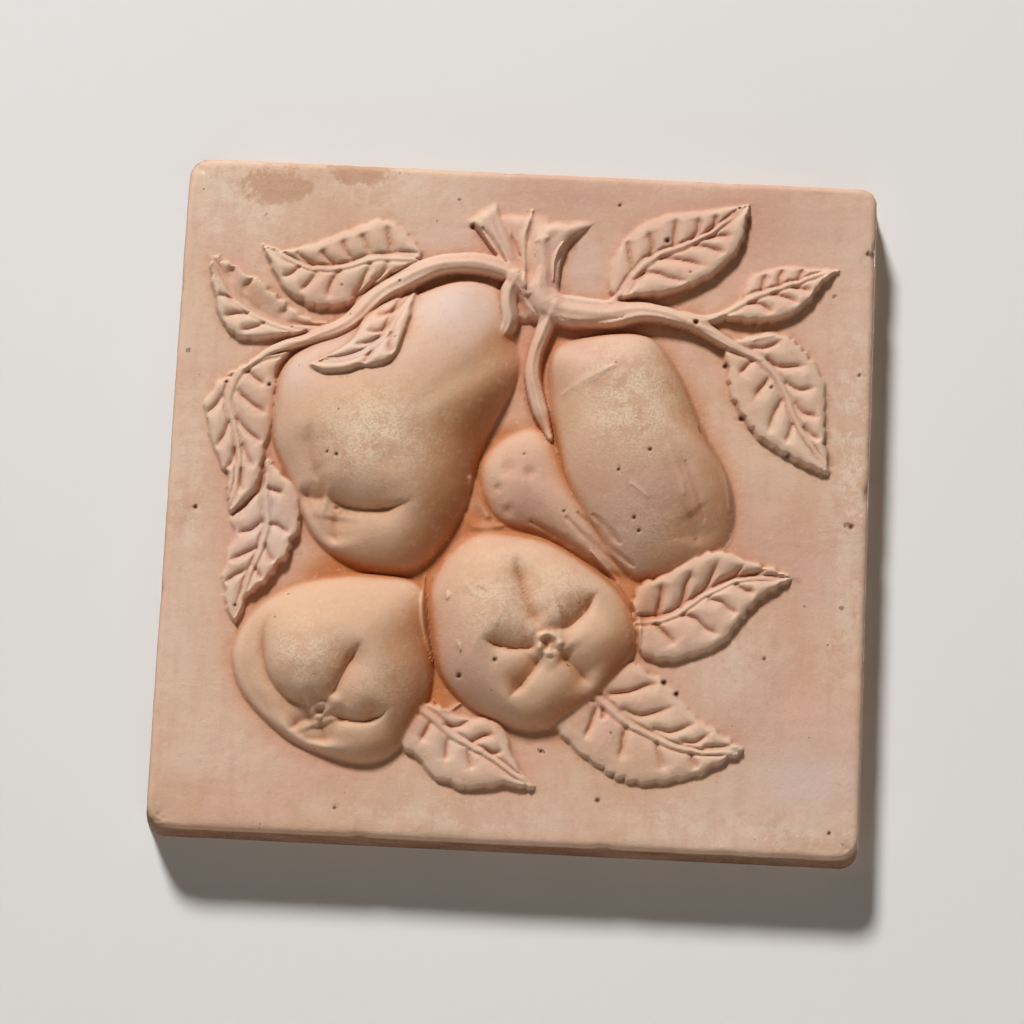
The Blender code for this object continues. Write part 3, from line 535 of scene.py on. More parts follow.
# Paint over the face: each colour's soft spots, as strength, place and radius each way
PAINT_SPOTS = {
    "cream": (
        (1, (-84, 84), (20, 12)), (0.8, (-30, 89), (34, 6)), (0.9, (94, 10), (9, 60)),
        (0.8, (70, -88), (50, 7)), (0.7, (62, -45), (12, 16)), (0.6, (-92, -10), (6, 60)),
        (0.6, (-10, -88), (40, 5)),
    ),
    "lilac": (
        (1, (-20, 54), (17, 11)), (0.9, (-46, 40), (18, 7)), (0.9, (-68, -8), (8, 13)),
        (0.7, (-63, 33), (8, 8)), (0.5, (-21, 73), (10, 6)), (0.55, (16, 66), (6, 8)),
        (0.9, (82, -74), (16, 12)), (0.35, (-72, 12), (7, 14)),
    ),
    "bloom": (
        (1, (-40, 15), (15, 12)), (1, (30, 28), (12, 15)), (0.8, (-56, -47), (11, 9)),
        (0.7, (-2, -30), (12, 13)), (0.7, (13, -27), (10, 9)), (0.4, (-34, -54), (10, 9)),
        (0.35, (36, -5), (12, 10)),
    ),
    "stain_and_shade": (
        # The spots at (11.5, 77) and (8, 78) on the right stub's right slope and at (-76, 56) in the far
        # left leaf's hollow are painted shade
        (1, (-73, 88), (14, 8)), (1, (-50, 92), (16, 4)), (1, (11.5, 77), (3, 6)),
        (0.8, (-47, 7), (7, 6)), (0.8, (-55, -57), (7, 3.5)), (0.6, (-11, -42), (6, 5)),
        (0.5, (8, 78), (10, 5)), (1, (-76, 56), (8, 5)),
    ),
    "rosy_and_shade": (
        (0.9, (35, -2), (22, 18)), (1, (2, 2), (14, 15)), (0.8, (-14, -48), (12, 14)),
        # The spot at (18, 42) is painted shade on the right pear's top under the right branch
        (1, (18, 42), (16, 9)), (0.5, (-49, 9), (6, 5)), (0.6, (-18, -30), (6, 14)),
        (0.6, (70, -8), (20, 16)), (0.7, (60, 84), (34, 12)), (0.8, (8, 89), (30, 8)),
        (0.5, (65, -58), (12, 14)),
    ),
}


def smooth_line(points, steps, closed=False):
    """Points along a smooth curve through the given ones, some steps between each two."""
    given = [np.array(point, float) for point in points]
    if closed:
        given = [given[-1], *given, given[0], given[1]]
    else:
        given = [2 * given[0] - given[1], *given, 2 * given[-1] - given[-2]]
    found = []
    for before, start, end, after in zip(given, given[1:], given[2:], given[3:]):
        for step in range(steps):
            t = step / steps
            bend = 2 * before - 5 * start + 4 * end - after
            twist = 3 * start - before - 3 * end + after
            found.append(0.5 * (2 * start + (end - before) * t + bend * t**2 + twist * t**3))
    if not closed:
        found.append(given[-2])
    return np.array(found)


def lengths_along(line):
    return np.concatenate([[0], np.cumsum(np.hypot(*np.diff(line, axis=0).T))])


def nearest(line, x, z):
    """For each place: its share of the line's length, and its distance, positive on the left of its way."""
    lengths = lengths_along(line)
    best = np.full(x.shape, np.inf)
    share = np.zeros(x.shape)
    side = np.ones(x.shape)
    for (ax, az), (bx, bz), start in zip(line, line[1:], lengths):
        dx, dz = bx - ax, bz - az
        size = dx * dx + dz * dz
        t = np.clip(((x - ax) * dx + (z - az) * dz) / size, 0, 1)
        off_x, off_z = x - ax - t * dx, z - az - t * dz
        distance = off_x * off_x + off_z * off_z
        closer = distance < best
        best = np.where(closer, distance, best)
        share = np.where(closer, (start + t * math.sqrt(size)) / lengths[-1], share)
        side = np.where(closer, np.where(dx * off_z - dz * off_x >= 0, 1.0, -1.0), side)
    return share, np.sqrt(best) * side


def soft_max(a, b, blend):
    """The higher of two, with a fillet where they meet."""
    return np.maximum(a, b) + np.maximum(blend - np.abs(a - b), 0) ** 2 / (4 * blend)


def ease(low, high, value):
    """0 at low, 1 at high, and smooth between them."""
    t = np.clip((value - low) / (high - low), 0, 1)
    return t * t * (3 - 2 * t)


def bell(away, width, power=2):
    """1 where nothing is away, and falling to nothing over about that width."""
    return np.exp(-((away / width) ** power))


def spot(x, z, centre, radius):
    """A round soft spot, 1 at its centre; radius is one size or one for each way."""
    radius_x, radius_z = radius if isinstance(radius, tuple) else (radius, radius)
    return np.exp(-(((x - centre[0]) / radius_x) ** 2) - ((z - centre[1]) / radius_z) ** 2)


def noise(x, z, size, seed):
    """Smooth noise from -1 to 1 with features of that size."""
    cells = 64
    table = np.random.RandomState(seed).uniform(-1, 1, (cells, cells))
    u, v = x / size + 17.3 * seed, z / size + 7.1 * seed
    iu, iv = np.floor(u).astype(int), np.floor(v).astype(int)
    fu, fv = ease(0, 1, u - iu), ease(0, 1, v - iv)
    a, b = table[iu % cells, iv % cells], table[(iu + 1) % cells, iv % cells]
    c, d = table[iu % cells, (iv + 1) % cells], table[(iu + 1) % cells, (iv + 1) % cells]
    return (a * (1 - fu) + b * fu) * (1 - fv) + (c * (1 - fu) + d * fu) * fv


def rough(x, z, size, seed, octaves=3):
    """Noise with finer noise on it."""
    return sum(noise(x, z, size / 2**k, seed + k) / 2**k for k in range(octaves)) / 1.6


def wavered(x, z, amount, size, seed, other_seed):
    """The places moved to and fro a little, so that the lines found from them waver."""
    return x + amount * noise(x, z, size, seed), z + amount * noise(x, z, size, other_seed)


def blurred(field, radius):
    """The field averaged over about that many grid steps each way."""
    for axis in (0, 1):
        for _ in range(3):
            edge = [(0, 0), (0, 0)]
            edge[axis] = (radius + 1, radius)
            total = np.cumsum(np.pad(field, edge, mode="edge"), axis=axis)
            size = 2 * radius + 1
            field = (total[size:] - total[:-size]) if axis == 0 else (total[:, size:] - total[:, :-size])
            field = field / size
    return field


class Grid:
    """Even places over the slab's face, out to where its edge begins to round."""

    def __init__(self):
        inset = SIDE_DRAFT + FRONT_EDGE_RADIUS
        self.half_x, self.half_z = HALF_WIDTH - inset, HALF_HEIGHT - inset
        cells_x, cells_z = (
            BACK_GRID_SHARE * round(2 * half / GRID_STEP / BACK_GRID_SHARE)
            for half in (self.half_x, self.half_z)
        )
        self.xs = np.linspace(-self.half_x, self.half_x, cells_x + 1)
        self.zs = np.linspace(-self.half_z, self.half_z, cells_z + 1)
        self.x, self.z = np.meshgrid(self.xs, self.zs)
        self.step_x = self.xs[1] - self.xs[0]
        self.step_z = self.zs[1] - self.zs[0]

    def window(self, line, margin):
        """The rows and columns around a line."""
        low, high = line.min(0) - margin, line.max(0) + margin
        left, right = np.searchsorted(self.xs, (low[0], high[0]))
        bottom, top = np.searchsorted(self.zs, (low[1], high[1]))
        return slice(bottom, top), slice(left, right)

    def sample(self, field, x, z):
        """The field between its grid places."""
        c = np.clip((x + self.half_x) / self.step_x, 0, len(self.xs) - 1.001)
        r = np.clip((z + self.half_z) / self.step_z, 0, len(self.zs) - 1.001)
        ic, ir = c.astype(int), r.astype(int)
        fc, fr = c - ic, r - ir
        low = field[ir, ic] * (1 - fc) + field[ir, ic + 1] * fc
        high = field[ir + 1, ic] * (1 - fc) + field[ir + 1, ic + 1] * fc
        return low * (1 - fr) + high * fr


def fruit_share(fruit, x, z):
    """How far out a place is: 0 at the crown, 1 at the outline."""
    outline = smooth_line(fruit["outline"], 12, closed=True) - np.array(fruit["crown"])
    angles = np.arctan2(outline[:, 1], outline[:, 0])
    order = np.argsort(angles)
    count = 720
    even = np.arange(count) * 2 * math.pi / count - math.pi
    reach = np.interp(even, angles[order], np.hypot(*outline[order].T), period=2 * math.pi)
    for _ in range(60):
        reach = (np.roll(reach, 1) + 2 * reach + np.roll(reach, -1)) / 4
    off_x, off_z = x - fruit["crown"][0], z - fruit["crown"][1]
    own = np.interp(np.arctan2(off_z, off_x).ravel(), even, reach, period=2 * math.pi).reshape(x.shape)
    return np.hypot(off_x, off_z) / own


def cut_crease(grid, height, share, line, depth, left, right):
    """A crease in a fruit: a groove in a shallow valley, with a side of its own on each hand."""
    curve = smooth_line(line, 8)
    win = grid.window(curve, CREASE_MARGIN)
    x, z = grid.x[win], grid.z[win]
    along, across = nearest(curve, *wavered(x, z, CREASE_WAVER, 5, 31, 32))
    lean = ease(0, 0.15, along) * ease(1, 0.85, along)
    width = (left + right) / 2 + np.sign(across) * (left - right) / 2 * lean
    width = width * (1 - 0.5 * ease(0.35, 1, along))
    fade = (0.45 + 0.55 * ease(0, 0.2, along)) * ease(1.02, 0.6, along)
    groove = np.exp(-np.sqrt(across**2 + CREASE_BLUNTNESS**2) / width)
    valley = bell(across, CREASE_VALLEY_WIDTH) * CREASE_VALLEY_DEPTH * min(depth / 2, 1)
    height[win] -= fade * (depth * groove + valley) * ease(1.0, 0.88, share[win])


def add_calyx(grid, height, centre, radius, rise, sepals, hole):
    """The dried flower's ring: lobes about a hole, in a shallow dish."""
    x, z = grid.x, grid.z
    off_x, off_z = x - centre[0], z - centre[1]
    out = np.hypot(off_x, off_z) + 0.25 * noise(x, z, 1.6, 71)
    angle = np.arctan2(off_z, off_x)
    lobes = np.clip(0.9 + 0.2 * np.cos(sepals * angle + 0.8) + 0.4 * noise(x, z, 1.8, 72), 0.3, 1.5)
    ring = bell(out - radius, 0.5 * radius) * lobes
    crust = 0.2 * rise * rough(x, z, 1.3, 73) * bell(out, 1.7 * radius, 4)
    height -= CALYX_DISH_DEPTH * bell(out, CALYX_DISH_RADIUS)
    height += rise * ring + crust
    height -= hole * bell(out, 0.4 * radius)


def fruit_heights(grid):
    """Each fruit's heights, which go on falling outside its outline, and how far out each place is."""
    heights, shares = {}, {}
    for index, (name, fruit) in enumerate(FRUITS.items()):
        share = fruit_share(fruit, grid.x, grid.z)
        dome = fruit["rise"] * np.clip(1 - share ** fruit["power"], 0, 1) ** FRUIT_ROUNDNESS
        lumps = sum(rise * rough(grid.x, grid.z, size, seed + index) for rise, size, seed in FRUIT_LUMPS)
        dome = dome + lumps * ease(1, 0.8, share)
        heights[name] = np.where(share < 1, dome, -FRUIT_FALL * fruit["rise"] * (share - 1))
        shares[name] = share
    for name, centre, radius, depth in FRUIT_SLOPES:
        heights[name] -= depth * spot(grid.x, grid.z, centre, radius) * (shares[name] < 1)
    for name, depth, left, right, line in CREASES:
        cut_crease(grid, heights[name], shares[name], line, depth, left, right)
    for name, centre, radius, rise, sepals, hole in CALYXES:
        add_calyx(grid, heights[name], centre, radius, rise, sepals, hole)
    return heights, shares


def inside_of(outline, x, z):
    """Whether each place is inside a closed line."""
    inside = np.zeros(x.shape, bool)
    for (ax, az), (bx, bz) in zip(outline, np.roll(outline, -1, axis=0)):
        if az != bz:
            inside ^= ((az > z) != (bz > z)) & (x < ax + (z - az) / (bz - az) * (bx - ax))
    return inside


def leaf_edge(outline, teeth, x, z, seed):
    """How far inside a leaf's outline each place is, without its teeth and with them."""
    closed = np.vstack([outline, outline[:1]])
    around, away = nearest(closed, x, z)
    inside = np.abs(away) * np.where(inside_of(outline, x, z), 1, -1)
    around = around * lengths_along(closed)[-1]
    bite = (around / TOOTH_PITCH + 0.9 * noise(around, 0 * x + seed, 11, seed + 7)) % 1
    scallop = np.minimum(bite / TOOTH_SLANT, (1 - bite) / (1 - TOOTH_SLANT)) ** 0.7 - 0.7
    size = teeth * (1 + 0.9 * noise(around, 0 * x, 8, seed + 8))
    return inside, inside + 1.5 * scallop * size * ease(3, 0.8, np.abs(inside))


def leaf_heights(grid, leaf, under, seed):
    """A leaf: a blade puffed up between its side veins, with a raised rib and a steep, toothed edge."""
    outline, rib = smooth_line(leaf["outline"], 5, closed=True), smooth_line(leaf["rib"], 6)
    win = grid.window(outline, LEAF_MARGIN)
    x, z = grid.x[win], grid.z[win]
    bent_x, bent_z = wavered(x, z, LEAF_WAVER, 2.8, seed, seed + 50)
    inside, cut = leaf_edge(outline, leaf["teeth"], bent_x, bent_z, seed)
    share, across = nearest(rib, bent_x, bent_z)
    distance = np.abs(across)
    out = distance / (distance + np.maximum(inside, 0) + 0.01)
    on_left = ease(-1, 1, across)
    beside_rib, half_way, at_edge = (b + (a - b) * on_left for a, b in zip(leaf["left"], leaf["right"]))
    body = beside_rib * (1 - out) * (1 - 2 * out) + half_way * 4 * out * (1 - out)
    body = (body + at_edge * out * (2 * out - 1)) * (1 + 0.12 * noise(x, z, 12, seed + 4))

    groove = np.zeros(x.shape)
    near = np.minimum(distance, 1.2 * np.maximum(inside, 0))
    for vein in leaf["veins"]:
        along, away = nearest(smooth_line(vein, 5), bent_x, bent_z)
        away = np.abs(away)
        near = np.minimum(near, away + 2.5 * ease(0.75, 1, along))
        fade = (0.6 + 0.4 * ease(0, 0.2, along)) * ease(1, 0.55, along)
        groove = np.maximum(groove, bell(away, VEIN_WIDTH, 1.5) * fade)
    pillow = 1 - bell(near, PILLOW_WIDTH, 1.3)
    body = body + leaf.get("puff", 1) * LEAF_PUFF * (pillow - 0.45) - VEIN_DEPTH * groove

    rib_width = RIB_HALF_WIDTH * (1 - 0.5 * share)
    ridge = RIB_RISE * bell(distance, rib_width)
    beside = RIB_GROOVE * bell(distance - 2 * rib_width, 0.6 * rib_width)
    body = body + (ridge - beside) * ease(1.0, 0.84, share) * ease(0.3, 1.8, inside)
    body = body + 0.06 * noise(x, z, 2.2, seed + 9) + 0.03 * noise(x, z, 1.0, seed + 10)
    ground = np.zeros(x.shape)
    for other in leaf.get("over", ()):
        ground = np.maximum(ground, under[other][win])
    wall = np.clip(cut / LEAF_WALL, 0, 1) ** 0.85
    return win, np.where(cut > 0, ground + np.maximum(body, 0.3) * wall, np.maximum(cut, -2) * 2.5)


def twig_heights(grid, twig, under, seed):
    """A twig or stalk: a grooved round, which may lean, flare and end in a cut."""
    line = smooth_line(twig["line"], 12)
    win = grid.window(line, TWIG_MARGIN)
    x, z = grid.x[win], grid.z[win]
    share, across = nearest(line, *wavered(x, z, TWIG_WAVER, 6, seed, seed + 5))
    half = np.interp(share, np.linspace(0, 1, len(twig["half_widths"])), twig["half_widths"])
    u = across / half
    lean = twig.get("lean", 0)
    v = np.where(u > lean, (u - lean) / (1 - lean), (u - lean) / (1 + lean))
    top = np.sqrt(np.clip(1 - v * v, 0, 1))
    length = lengths_along(line)[-1]
    waver = 2.2 * noise(share * length, u * 0 + seed, 9, seed + 3)
    grooves = TWIG_GROOVE * np.cos(u * TWIG_GROOVE_TURNS + waver) * top * ease(0.9, 2.4, half)
    rise = twig["rise"] * np.clip(half / 2.6, 0.4, 1.1) ** 0.6
    height = rise * top + grooves + 0.08 * noise(x, z, 2.5, seed + 6)
    ground = np.zeros(x.shape)
    places = np.linspace(0, 1, 40)
    middle_x = np.interp(places * length, lengths_along(line), line[:, 0])
    middle_z = np.interp(places * length, lengths_along(line), line[:, 1])
    for other in twig.get("over", ()):
        under_line = np.maximum(grid.sample(under[other], middle_x, middle_z), 0)
        for _ in range(3):
            under_line = np.convolve(np.pad(under_line, 1, mode="edge"), (0.25, 0.5, 0.25), "valid")
        ground = np.maximum(ground, np.interp(share, places, under_line))
    outside = ground * ease(1.5, 1, np.abs(u)) - 3 * half * (np.abs(u) - 1)
    height = np.where(np.abs(u) < 1, height + ground, outside)
    if "end" in twig:
        (ax, az), (bx, bz) = twig["end"]
        beyond = ((bx - ax) * (z - az) - (bz - az) * (x - ax)) / math.hypot(bx - ax, bz - az)
        beyond = beyond + 0.35 * noise(x, z, 3, seed + 11)
        shrunk = np.where(height > 0, height * ease(0.8, -STUB_END_SLOPE, beyond), height)
        height = shrunk - 1.8 * ease(-3.5, 0.5, beyond) - 3 * ease(0, 2, beyond)
    return win, np.maximum(height, FAR_BELOW)


def line_heights(grid, line, half, rise):
    """A raised or scratched line, thin towards its ends."""
    curve = smooth_line(line, 8)
    win = grid.window(curve, 6)
    x, z = grid.x[win], grid.z[win]
    share, across = nearest(curve, x, z)
    own = half * (1 + 0.3 * noise(x, z, 2.4, 81)) * (0.4 + 0.6 * np.sin(np.pi * share))
    return win, rise * bell(across, own)


def lay_leaves(grid, height, fruits, over_fruit):
    """Lays on the leaves that lie over a fruit, or else those that lie on the ground."""
    for index, leaf in enumerate(LEAVES.values()):
        if bool(leaf.get("over")) == over_fruit:
            win, own = leaf_heights(grid, leaf, fruits, LEAF_SEED + index)
            height[win] = soft_max(height[win], own, LEAF_BLEND)


def build_relief(grid):
    """The heights over the whole face, and how far out from each fruit's crown each place is."""
    x, z = grid.x, grid.z
    fruits, shares = fruit_heights(grid)
    crusty = sum(strength * spot(x, z, centre, radius) for strength, centre, radius in CRUST_SPOTS)
    height = sum(rise * rough(x, z, size, seed) for rise, size, seed in GROUND_WAVES)
    height = height + CRUST_RISE * crusty * rough(x, z, 2.6, 12)
    height = height + BRUSH_MARKS * noise(x * 0.16, z, 1.5, 21)
    lay_leaves(grid, height, fruits, False)
    fruit = np.full(x.shape, FAR_BELOW)
    for own in fruits.values():
        fruit = soft_max(fruit, own, FRUIT_TO_FRUIT_BLEND)
    height = soft_max(height, fruit, FRUIT_BLEND)
    lay_leaves(grid, height, fruits, True)
    wood = np.full(x.shape, FAR_BELOW)
    for index, twig in enumerate(TWIGS.values()):
        win, own = twig_heights(grid, twig, fruits, TWIG_SEED + index)
        wood[win] = soft_max(wood[win], own, TWIG_BLEND)
    height = soft_max(height, wood, WOOD_BLEND)
    for line, half, rise in LINES:
        win, own = line_heights(grid, line, half, rise)
        height[win] = height[win] + own
    for centre, radius, depth in DENTS:
        height = height - depth * spot(x, z, centre, radius)
    for centre, radius, depth in PITS:
        height = height - depth * bell(np.hypot(x - centre[0], z - centre[1]), PIT_SHARE * radius, 3)
    return height - edge_wear(x, z, 0), shares


def edge_wear(x, z, depth):
    """How much is worn or chipped off the slab's front edge at a place, that far down its side."""
    inset = np.minimum(HALF_WIDTH - np.abs(x), HALF_HEIGHT - np.abs(z))
    near = ease(7, 1, inset) * ease(7, 0, depth)
    worn = EDGE_WEAR * (1 + rough(x + 0.8 * depth, z - 0.7 * depth, 7, 61)) * near
    for centre, radius, deep in CHIPS:
        away = np.sqrt((x - centre[0]) ** 2 + (z - centre[1]) ** 2 + depth**2)
        worn = worn + deep * bell(away, 1.9 * radius, 3) * (1 + 0.4 * noise(x + depth, z, 1.3, 62))
    return worn


def paint_masks(grid, height, shares):
    """Where colours and painted shade and bounce light lie, from 0 to 1: in hollows, on crests and flanks,
    and in placed spots.
    """
    x, z = grid.x, grid.z
    fine, middle, broad, crest = (
        np.clip((blurred(height, steps) - height) * gain - spared, 0, 1)
        for steps, gain, spared in CONTRASTS
    )
    closest, second = np.sort(list(shares.values()), axis=0)[:2]
    fruit = ease(1.0, 0.93, closest)
    near_fruit = ease(1.28, 1.0, closest) * (1 - fruit)
    gap = np.clip(1.3 * ease(1.4, 1.0, second) + 0.2 * ease(1.4, 1.0, closest), 0, 1)
    slope_z, slope_x = np.gradient(blurred(height, 2), grid.step_x)
    # Painted shade: fruit slopes that face right and down, away from the key light
    flank_shade = ease(*FLANK_SLOPES, -(slope_x * FLANK_WAY[0] - slope_z * FLANK_WAY[1])) * fruit
    # Painted dark shade in the pits
    pits = [
        bell(np.hypot(x - centre[0], z - centre[1]), 1.1 * PIT_SHARE * radius, 3)
        for centre, radius, _ in PITS
    ]
    # Painted ochre shade in the middle and broad hollows and the gaps between fruit, with two spots that
    # add and take away some of it
    crevice_shade_spots = 0.5 * spot(x, z, (-15.5, -8), (5, 6)) - 0.35 * spot(x, z, (-28.5, -26), (6, 5))
    crevice_shade = np.clip(middle + 0.6 * broad + 0.35 * gap * (1 - fruit) + crevice_shade_spots, 0, 1) * (0.3 + 0.7 * gap)
    # Painted orange bounce light and shade on the ground at the fruits' feet and in the gaps between them
    bounce_light = np.clip(0.6 * broad * gap + near_fruit * (0.15 + 0.85 * gap), 0, 1)
    # The fine-hollow, crevice, near-fruit, flank and pit masks are painted shade and bounce light
    masks = {
        "hollow_shade": fine * (0.55 + 0.45 * gap), "crevice_shade": crevice_shade, "bounce_light": bounce_light, "crest": crest,
        "fruit": fruit, "flank_shade": flank_shade, "pit_shade": np.max(pits, axis=0),
    }
    for name, spots in PAINT_SPOTS.items():
        masks[name] = np.max([strength * spot(x, z, *where) for strength, *where in spots], axis=0)
    return masks


def rounded(u, v, half_x, half_z, radius):
    """Moves places on square rings so that each ring has round corners, and leaves the rest."""
    inset = np.minimum(half_x - np.abs(u), half_z - np.abs(v))
    side_x, side_z = half_x - inset, half_z - inset
    own = np.maximum(radius - 0.5 * inset, 1e-6)
    along = (side_x - np.abs(u)) + (side_z - np.abs(v))
    turn = np.clip(1 - along / own, 0, 1) * math.pi / 4
    on_top = side_z - np.abs(v) <= side_x - np.abs(u)
    low, high = own * np.sin(turn) - own, own * np.cos(turn) - own
    new_x = side_x + np.where(on_top, low, high)
    new_z = side_z + np.where(on_top, high, low)
    in_corner = along < own
    x = np.where(in_corner, np.sign(u) * new_x, u)
    z = np.where(in_corner, np.sign(v) * new_z, v)
    return x, z


def ring_indices(rows, columns):
    """Indices of a grid's border, once round it."""
    index = np.arange(rows * columns).reshape(rows, columns)
    return np.concatenate([index[0, :-1], index[:-1, -1], index[-1, :0:-1], index[:0:-1, 0]])


def grid_triangles(rows, columns, flip):
    index = np.arange(rows * columns).reshape(rows, columns)
    corners = (index[:-1, :-1], index[:-1, 1:], index[1:, 1:], index[1:, :-1])
    a, b, c, d = (corner.ravel() for corner in corners)
    triangles = np.concatenate([np.stack([a, b, c], 1), np.stack([a, c, d], 1)])
    return triangles[:, ::-1] if flip else triangles


def rim_profile():
    """The slab's edge from the face to the back, as (inset, depth below the face, (way out, way up))."""
    profile = []
    for step in range(1, 9):
        angle = math.pi / 2 * step / 8
        inset = SIDE_DRAFT + FRONT_EDGE_RADIUS * (1 - math.sin(angle))
        depth = FRONT_EDGE_RADIUS * (1 - math.cos(angle))
        profile.append((inset, depth, (math.sin(angle), math.cos(angle))))
    start, end = FRONT_EDGE_RADIUS, SLAB_THICKNESS - BACK_EDGE_RADIUS
    for step in range(1, 17):
        share = step / 16
        profile.append((SIDE_DRAFT * (1 - share), start + (end - start) * share, (1, 0)))
    for step in range(1, 4):
        angle = math.pi / 2 * step / 3
        depth = SLAB_THICKNESS - BACK_EDGE_RADIUS * (1 - math.sin(angle))
        profile.append((BACK_EDGE_RADIUS * (1 - math.cos(angle)), depth, (0, 0)))
    return profile


def slab_surface(grid, height):
    """Points in field units and triangles of the whole closed plaque, without its nail slot."""
    rows, columns = grid.x.shape
    face_inset = SIDE_DRAFT + FRONT_EDGE_RADIUS
    face_x, face_z = rounded(grid.x, grid.z, grid.half_x, grid.half_z, CORNER_RADIUS - 0.5 * face_inset)
    points = [np.stack([face_x, -SLAB_THICKNESS - height, face_z], -1).reshape(-1, 3)]
    triangles = [grid_triangles(rows, columns, False)]
    border = ring_indices(rows, columns)
    share_x = (grid.x / grid.half_x).ravel()[border]
    share_z = (grid.z / grid.half_z).ravel()[border]
    count = len(border)
    start = rows * columns
    before = border
    for inset, depth, (out, up) in rim_profile():
        half_x, half_z = HALF_WIDTH - inset, HALF_HEIGHT - inset
        x, z = rounded(share_x * half_x, share_z * half_z, half_x, half_z, CORNER_RADIUS - 0.5 * inset)
        kept_x = np.clip(x, -HALF_WIDTH + CORNER_RADIUS, HALF_WIDTH - CORNER_RADIUS)
        kept_z = np.clip(z, -HALF_HEIGHT + CORNER_RADIUS, HALF_HEIGHT - CORNER_RADIUS)
        away = np.stack([x - kept_x, z - kept_z], 1)
        away /= np.maximum(np.hypot(*away.T), 1e-6)[:, None]
        side = SIDE_WEAR * (1 + rough(x + z, 4 * depth + x - z, 9, 63))
        side = side * ease(0, 5, depth) * ease(SLAB_THICKNESS, 14, depth)
        worn = edge_wear(x, z, depth)
        x = x - away[:, 0] * out * (worn + side)
        z = z - away[:, 1] * out * (worn + side)
        y = -SLAB_THICKNESS + depth + up * worn
        points.append(np.stack([x, y, z], 1))
        ring = start + np.arange(count)
        after, nearby = np.roll(before, -1), np.roll(ring, -1)
        triangles.append(np.stack([before, nearby, after], 1))
        triangles.append(np.stack([before, ring, nearby], 1))
        before, start = ring, start + count

    coarse_rows, coarse_columns = (rows - 1) // BACK_GRID_SHARE + 1, (columns - 1) // BACK_GRID_SHARE + 1
    half_x, half_z = HALF_WIDTH - 2 * BACK_EDGE_RADIUS - 1, HALF_HEIGHT - 2 * BACK_EDGE_RADIUS - 1
    u, v = np.meshgrid(
        np.linspace(-half_x, half_x, coarse_columns), np.linspace(-half_z, half_z, coarse_rows)
    )
    x, z = rounded(u, v, half_x, half_z, CORNER_RADIUS - 1.3)
    inset = np.minimum(half_x - np.abs(u), half_z - np.abs(v))
    dents = 0.3 * (1 + rough(x, z, 22, 64)) + 0.14 * (1 + rough(x, z, 5, 65))
    y = -dents * ease(0, 6, inset)
    points.append(np.stack([x, y, z], -1).reshape(-1, 3))
    triangles.append(grid_triangles(coarse_rows, coarse_columns, True) + start)
    inner = ring_indices(coarse_rows, coarse_columns) + start
    for k in range(BACK_GRID_SHARE):
        here, there = before[k::BACK_GRID_SHARE], np.roll(before, -1)[k::BACK_GRID_SHARE]
        near = inner if k < BACK_GRID_SHARE // 2 else np.roll(inner, -1)
        triangles.append(np.stack([here, near, there], 1))
        if k == BACK_GRID_SHARE // 2:
            triangles.append(np.stack([here, inner, near], 1))
    return np.concatenate(points), np.concatenate(triangles)


def mesh_from(name, points, triangles):
    """A mesh from arrays of points, in field units, and triangles."""
    mesh = bpy.data.meshes.new(name)
    mesh.vertices.add(len(points))
    mesh.vertices.foreach_set("co", (points * UNIT).astype(np.float32).ravel())
    mesh.loops.add(triangles.size)
    mesh.loops.foreach_set("vertex_index", triangles.astype(np.int32).ravel())
    mesh.polygons.add(len(triangles))
    mesh.polygons.foreach_set("loop_start", np.arange(0, triangles.size, 3, dtype=np.int32))
    mesh.update(calc_edges=True)
    mesh.validate()
    return mesh


def slot_cutter():
    """The shape of the slot that a nail head goes into, a little wider at its mouth."""
    half_width, corner, depth = NAIL_SLOT["width"] / 2, NAIL_SLOT["corner"], NAIL_SLOT["depth"]
    top = HALF_HEIGHT - NAIL_SLOT["below_top"]
    bottom = top - NAIL_SLOT["height"]
    outline = [(half_width, top), (-half_width, top)]
    for quarter, corner_x in ((2, -half_width + corner), (3, half_width - corner)):
        for step in range(7):
            angle = math.pi / 2 * (quarter + step / 6)
            outline.append((corner_x + corner * math.cos(angle), bottom + corner * (1 + math.sin(angle))))
    middle = np.array([0, (top + bottom) / 2])
    outline = np.array(outline)
    rings = []
    for y, flare in ((2.0, 1.2), (0.0, 0.7), (-1.1, 0.0), (-depth + 0.8, 0.0), (-depth, -0.8)):
        away = outline - middle
        shape = outline + flare * away / np.hypot(*away.T)[:, None]
        rings.append(np.stack([shape[:, 0], np.full(len(shape), y), shape[:, 1]], 1))
    count = len(outline)
    centres = [np.array([[0, 2.0, middle[1]]]), np.array([[0, -depth, middle[1]]])]
    points = np.concatenate([*rings, *centres])
    triangles = []
    for ring in range(len(rings) - 1):
        for i in range(count):
            j = (i + 1) % count
            a, b = ring * count + i, ring * count + j
            triangles += [(a, b, b + count), (a, b + count, a + count)]
    last = (len(rings) - 1) * count
    for i in range(count):
        j = (i + 1) % count
        triangles.append((len(points) - 2, j, i))
        triangles.append((len(points) - 1, last + i, last + j))
    cutter = bpy.data.objects.new("slot_cutter", mesh_from("slot_cutter", points, np.array(triangles)))
    bpy.context.scene.collection.objects.link(cutter)
    return cutter


def evaluated(piece):
    """The piece's mesh with its modifiers worked in."""
    depsgraph = bpy.context.evaluated_depsgraph_get()
    depsgraph.update()
    mesh = bpy.data.meshes.new_from_object(piece.evaluated_get(depsgraph))
    piece.modifiers.clear()
    piece.data = mesh
    return mesh


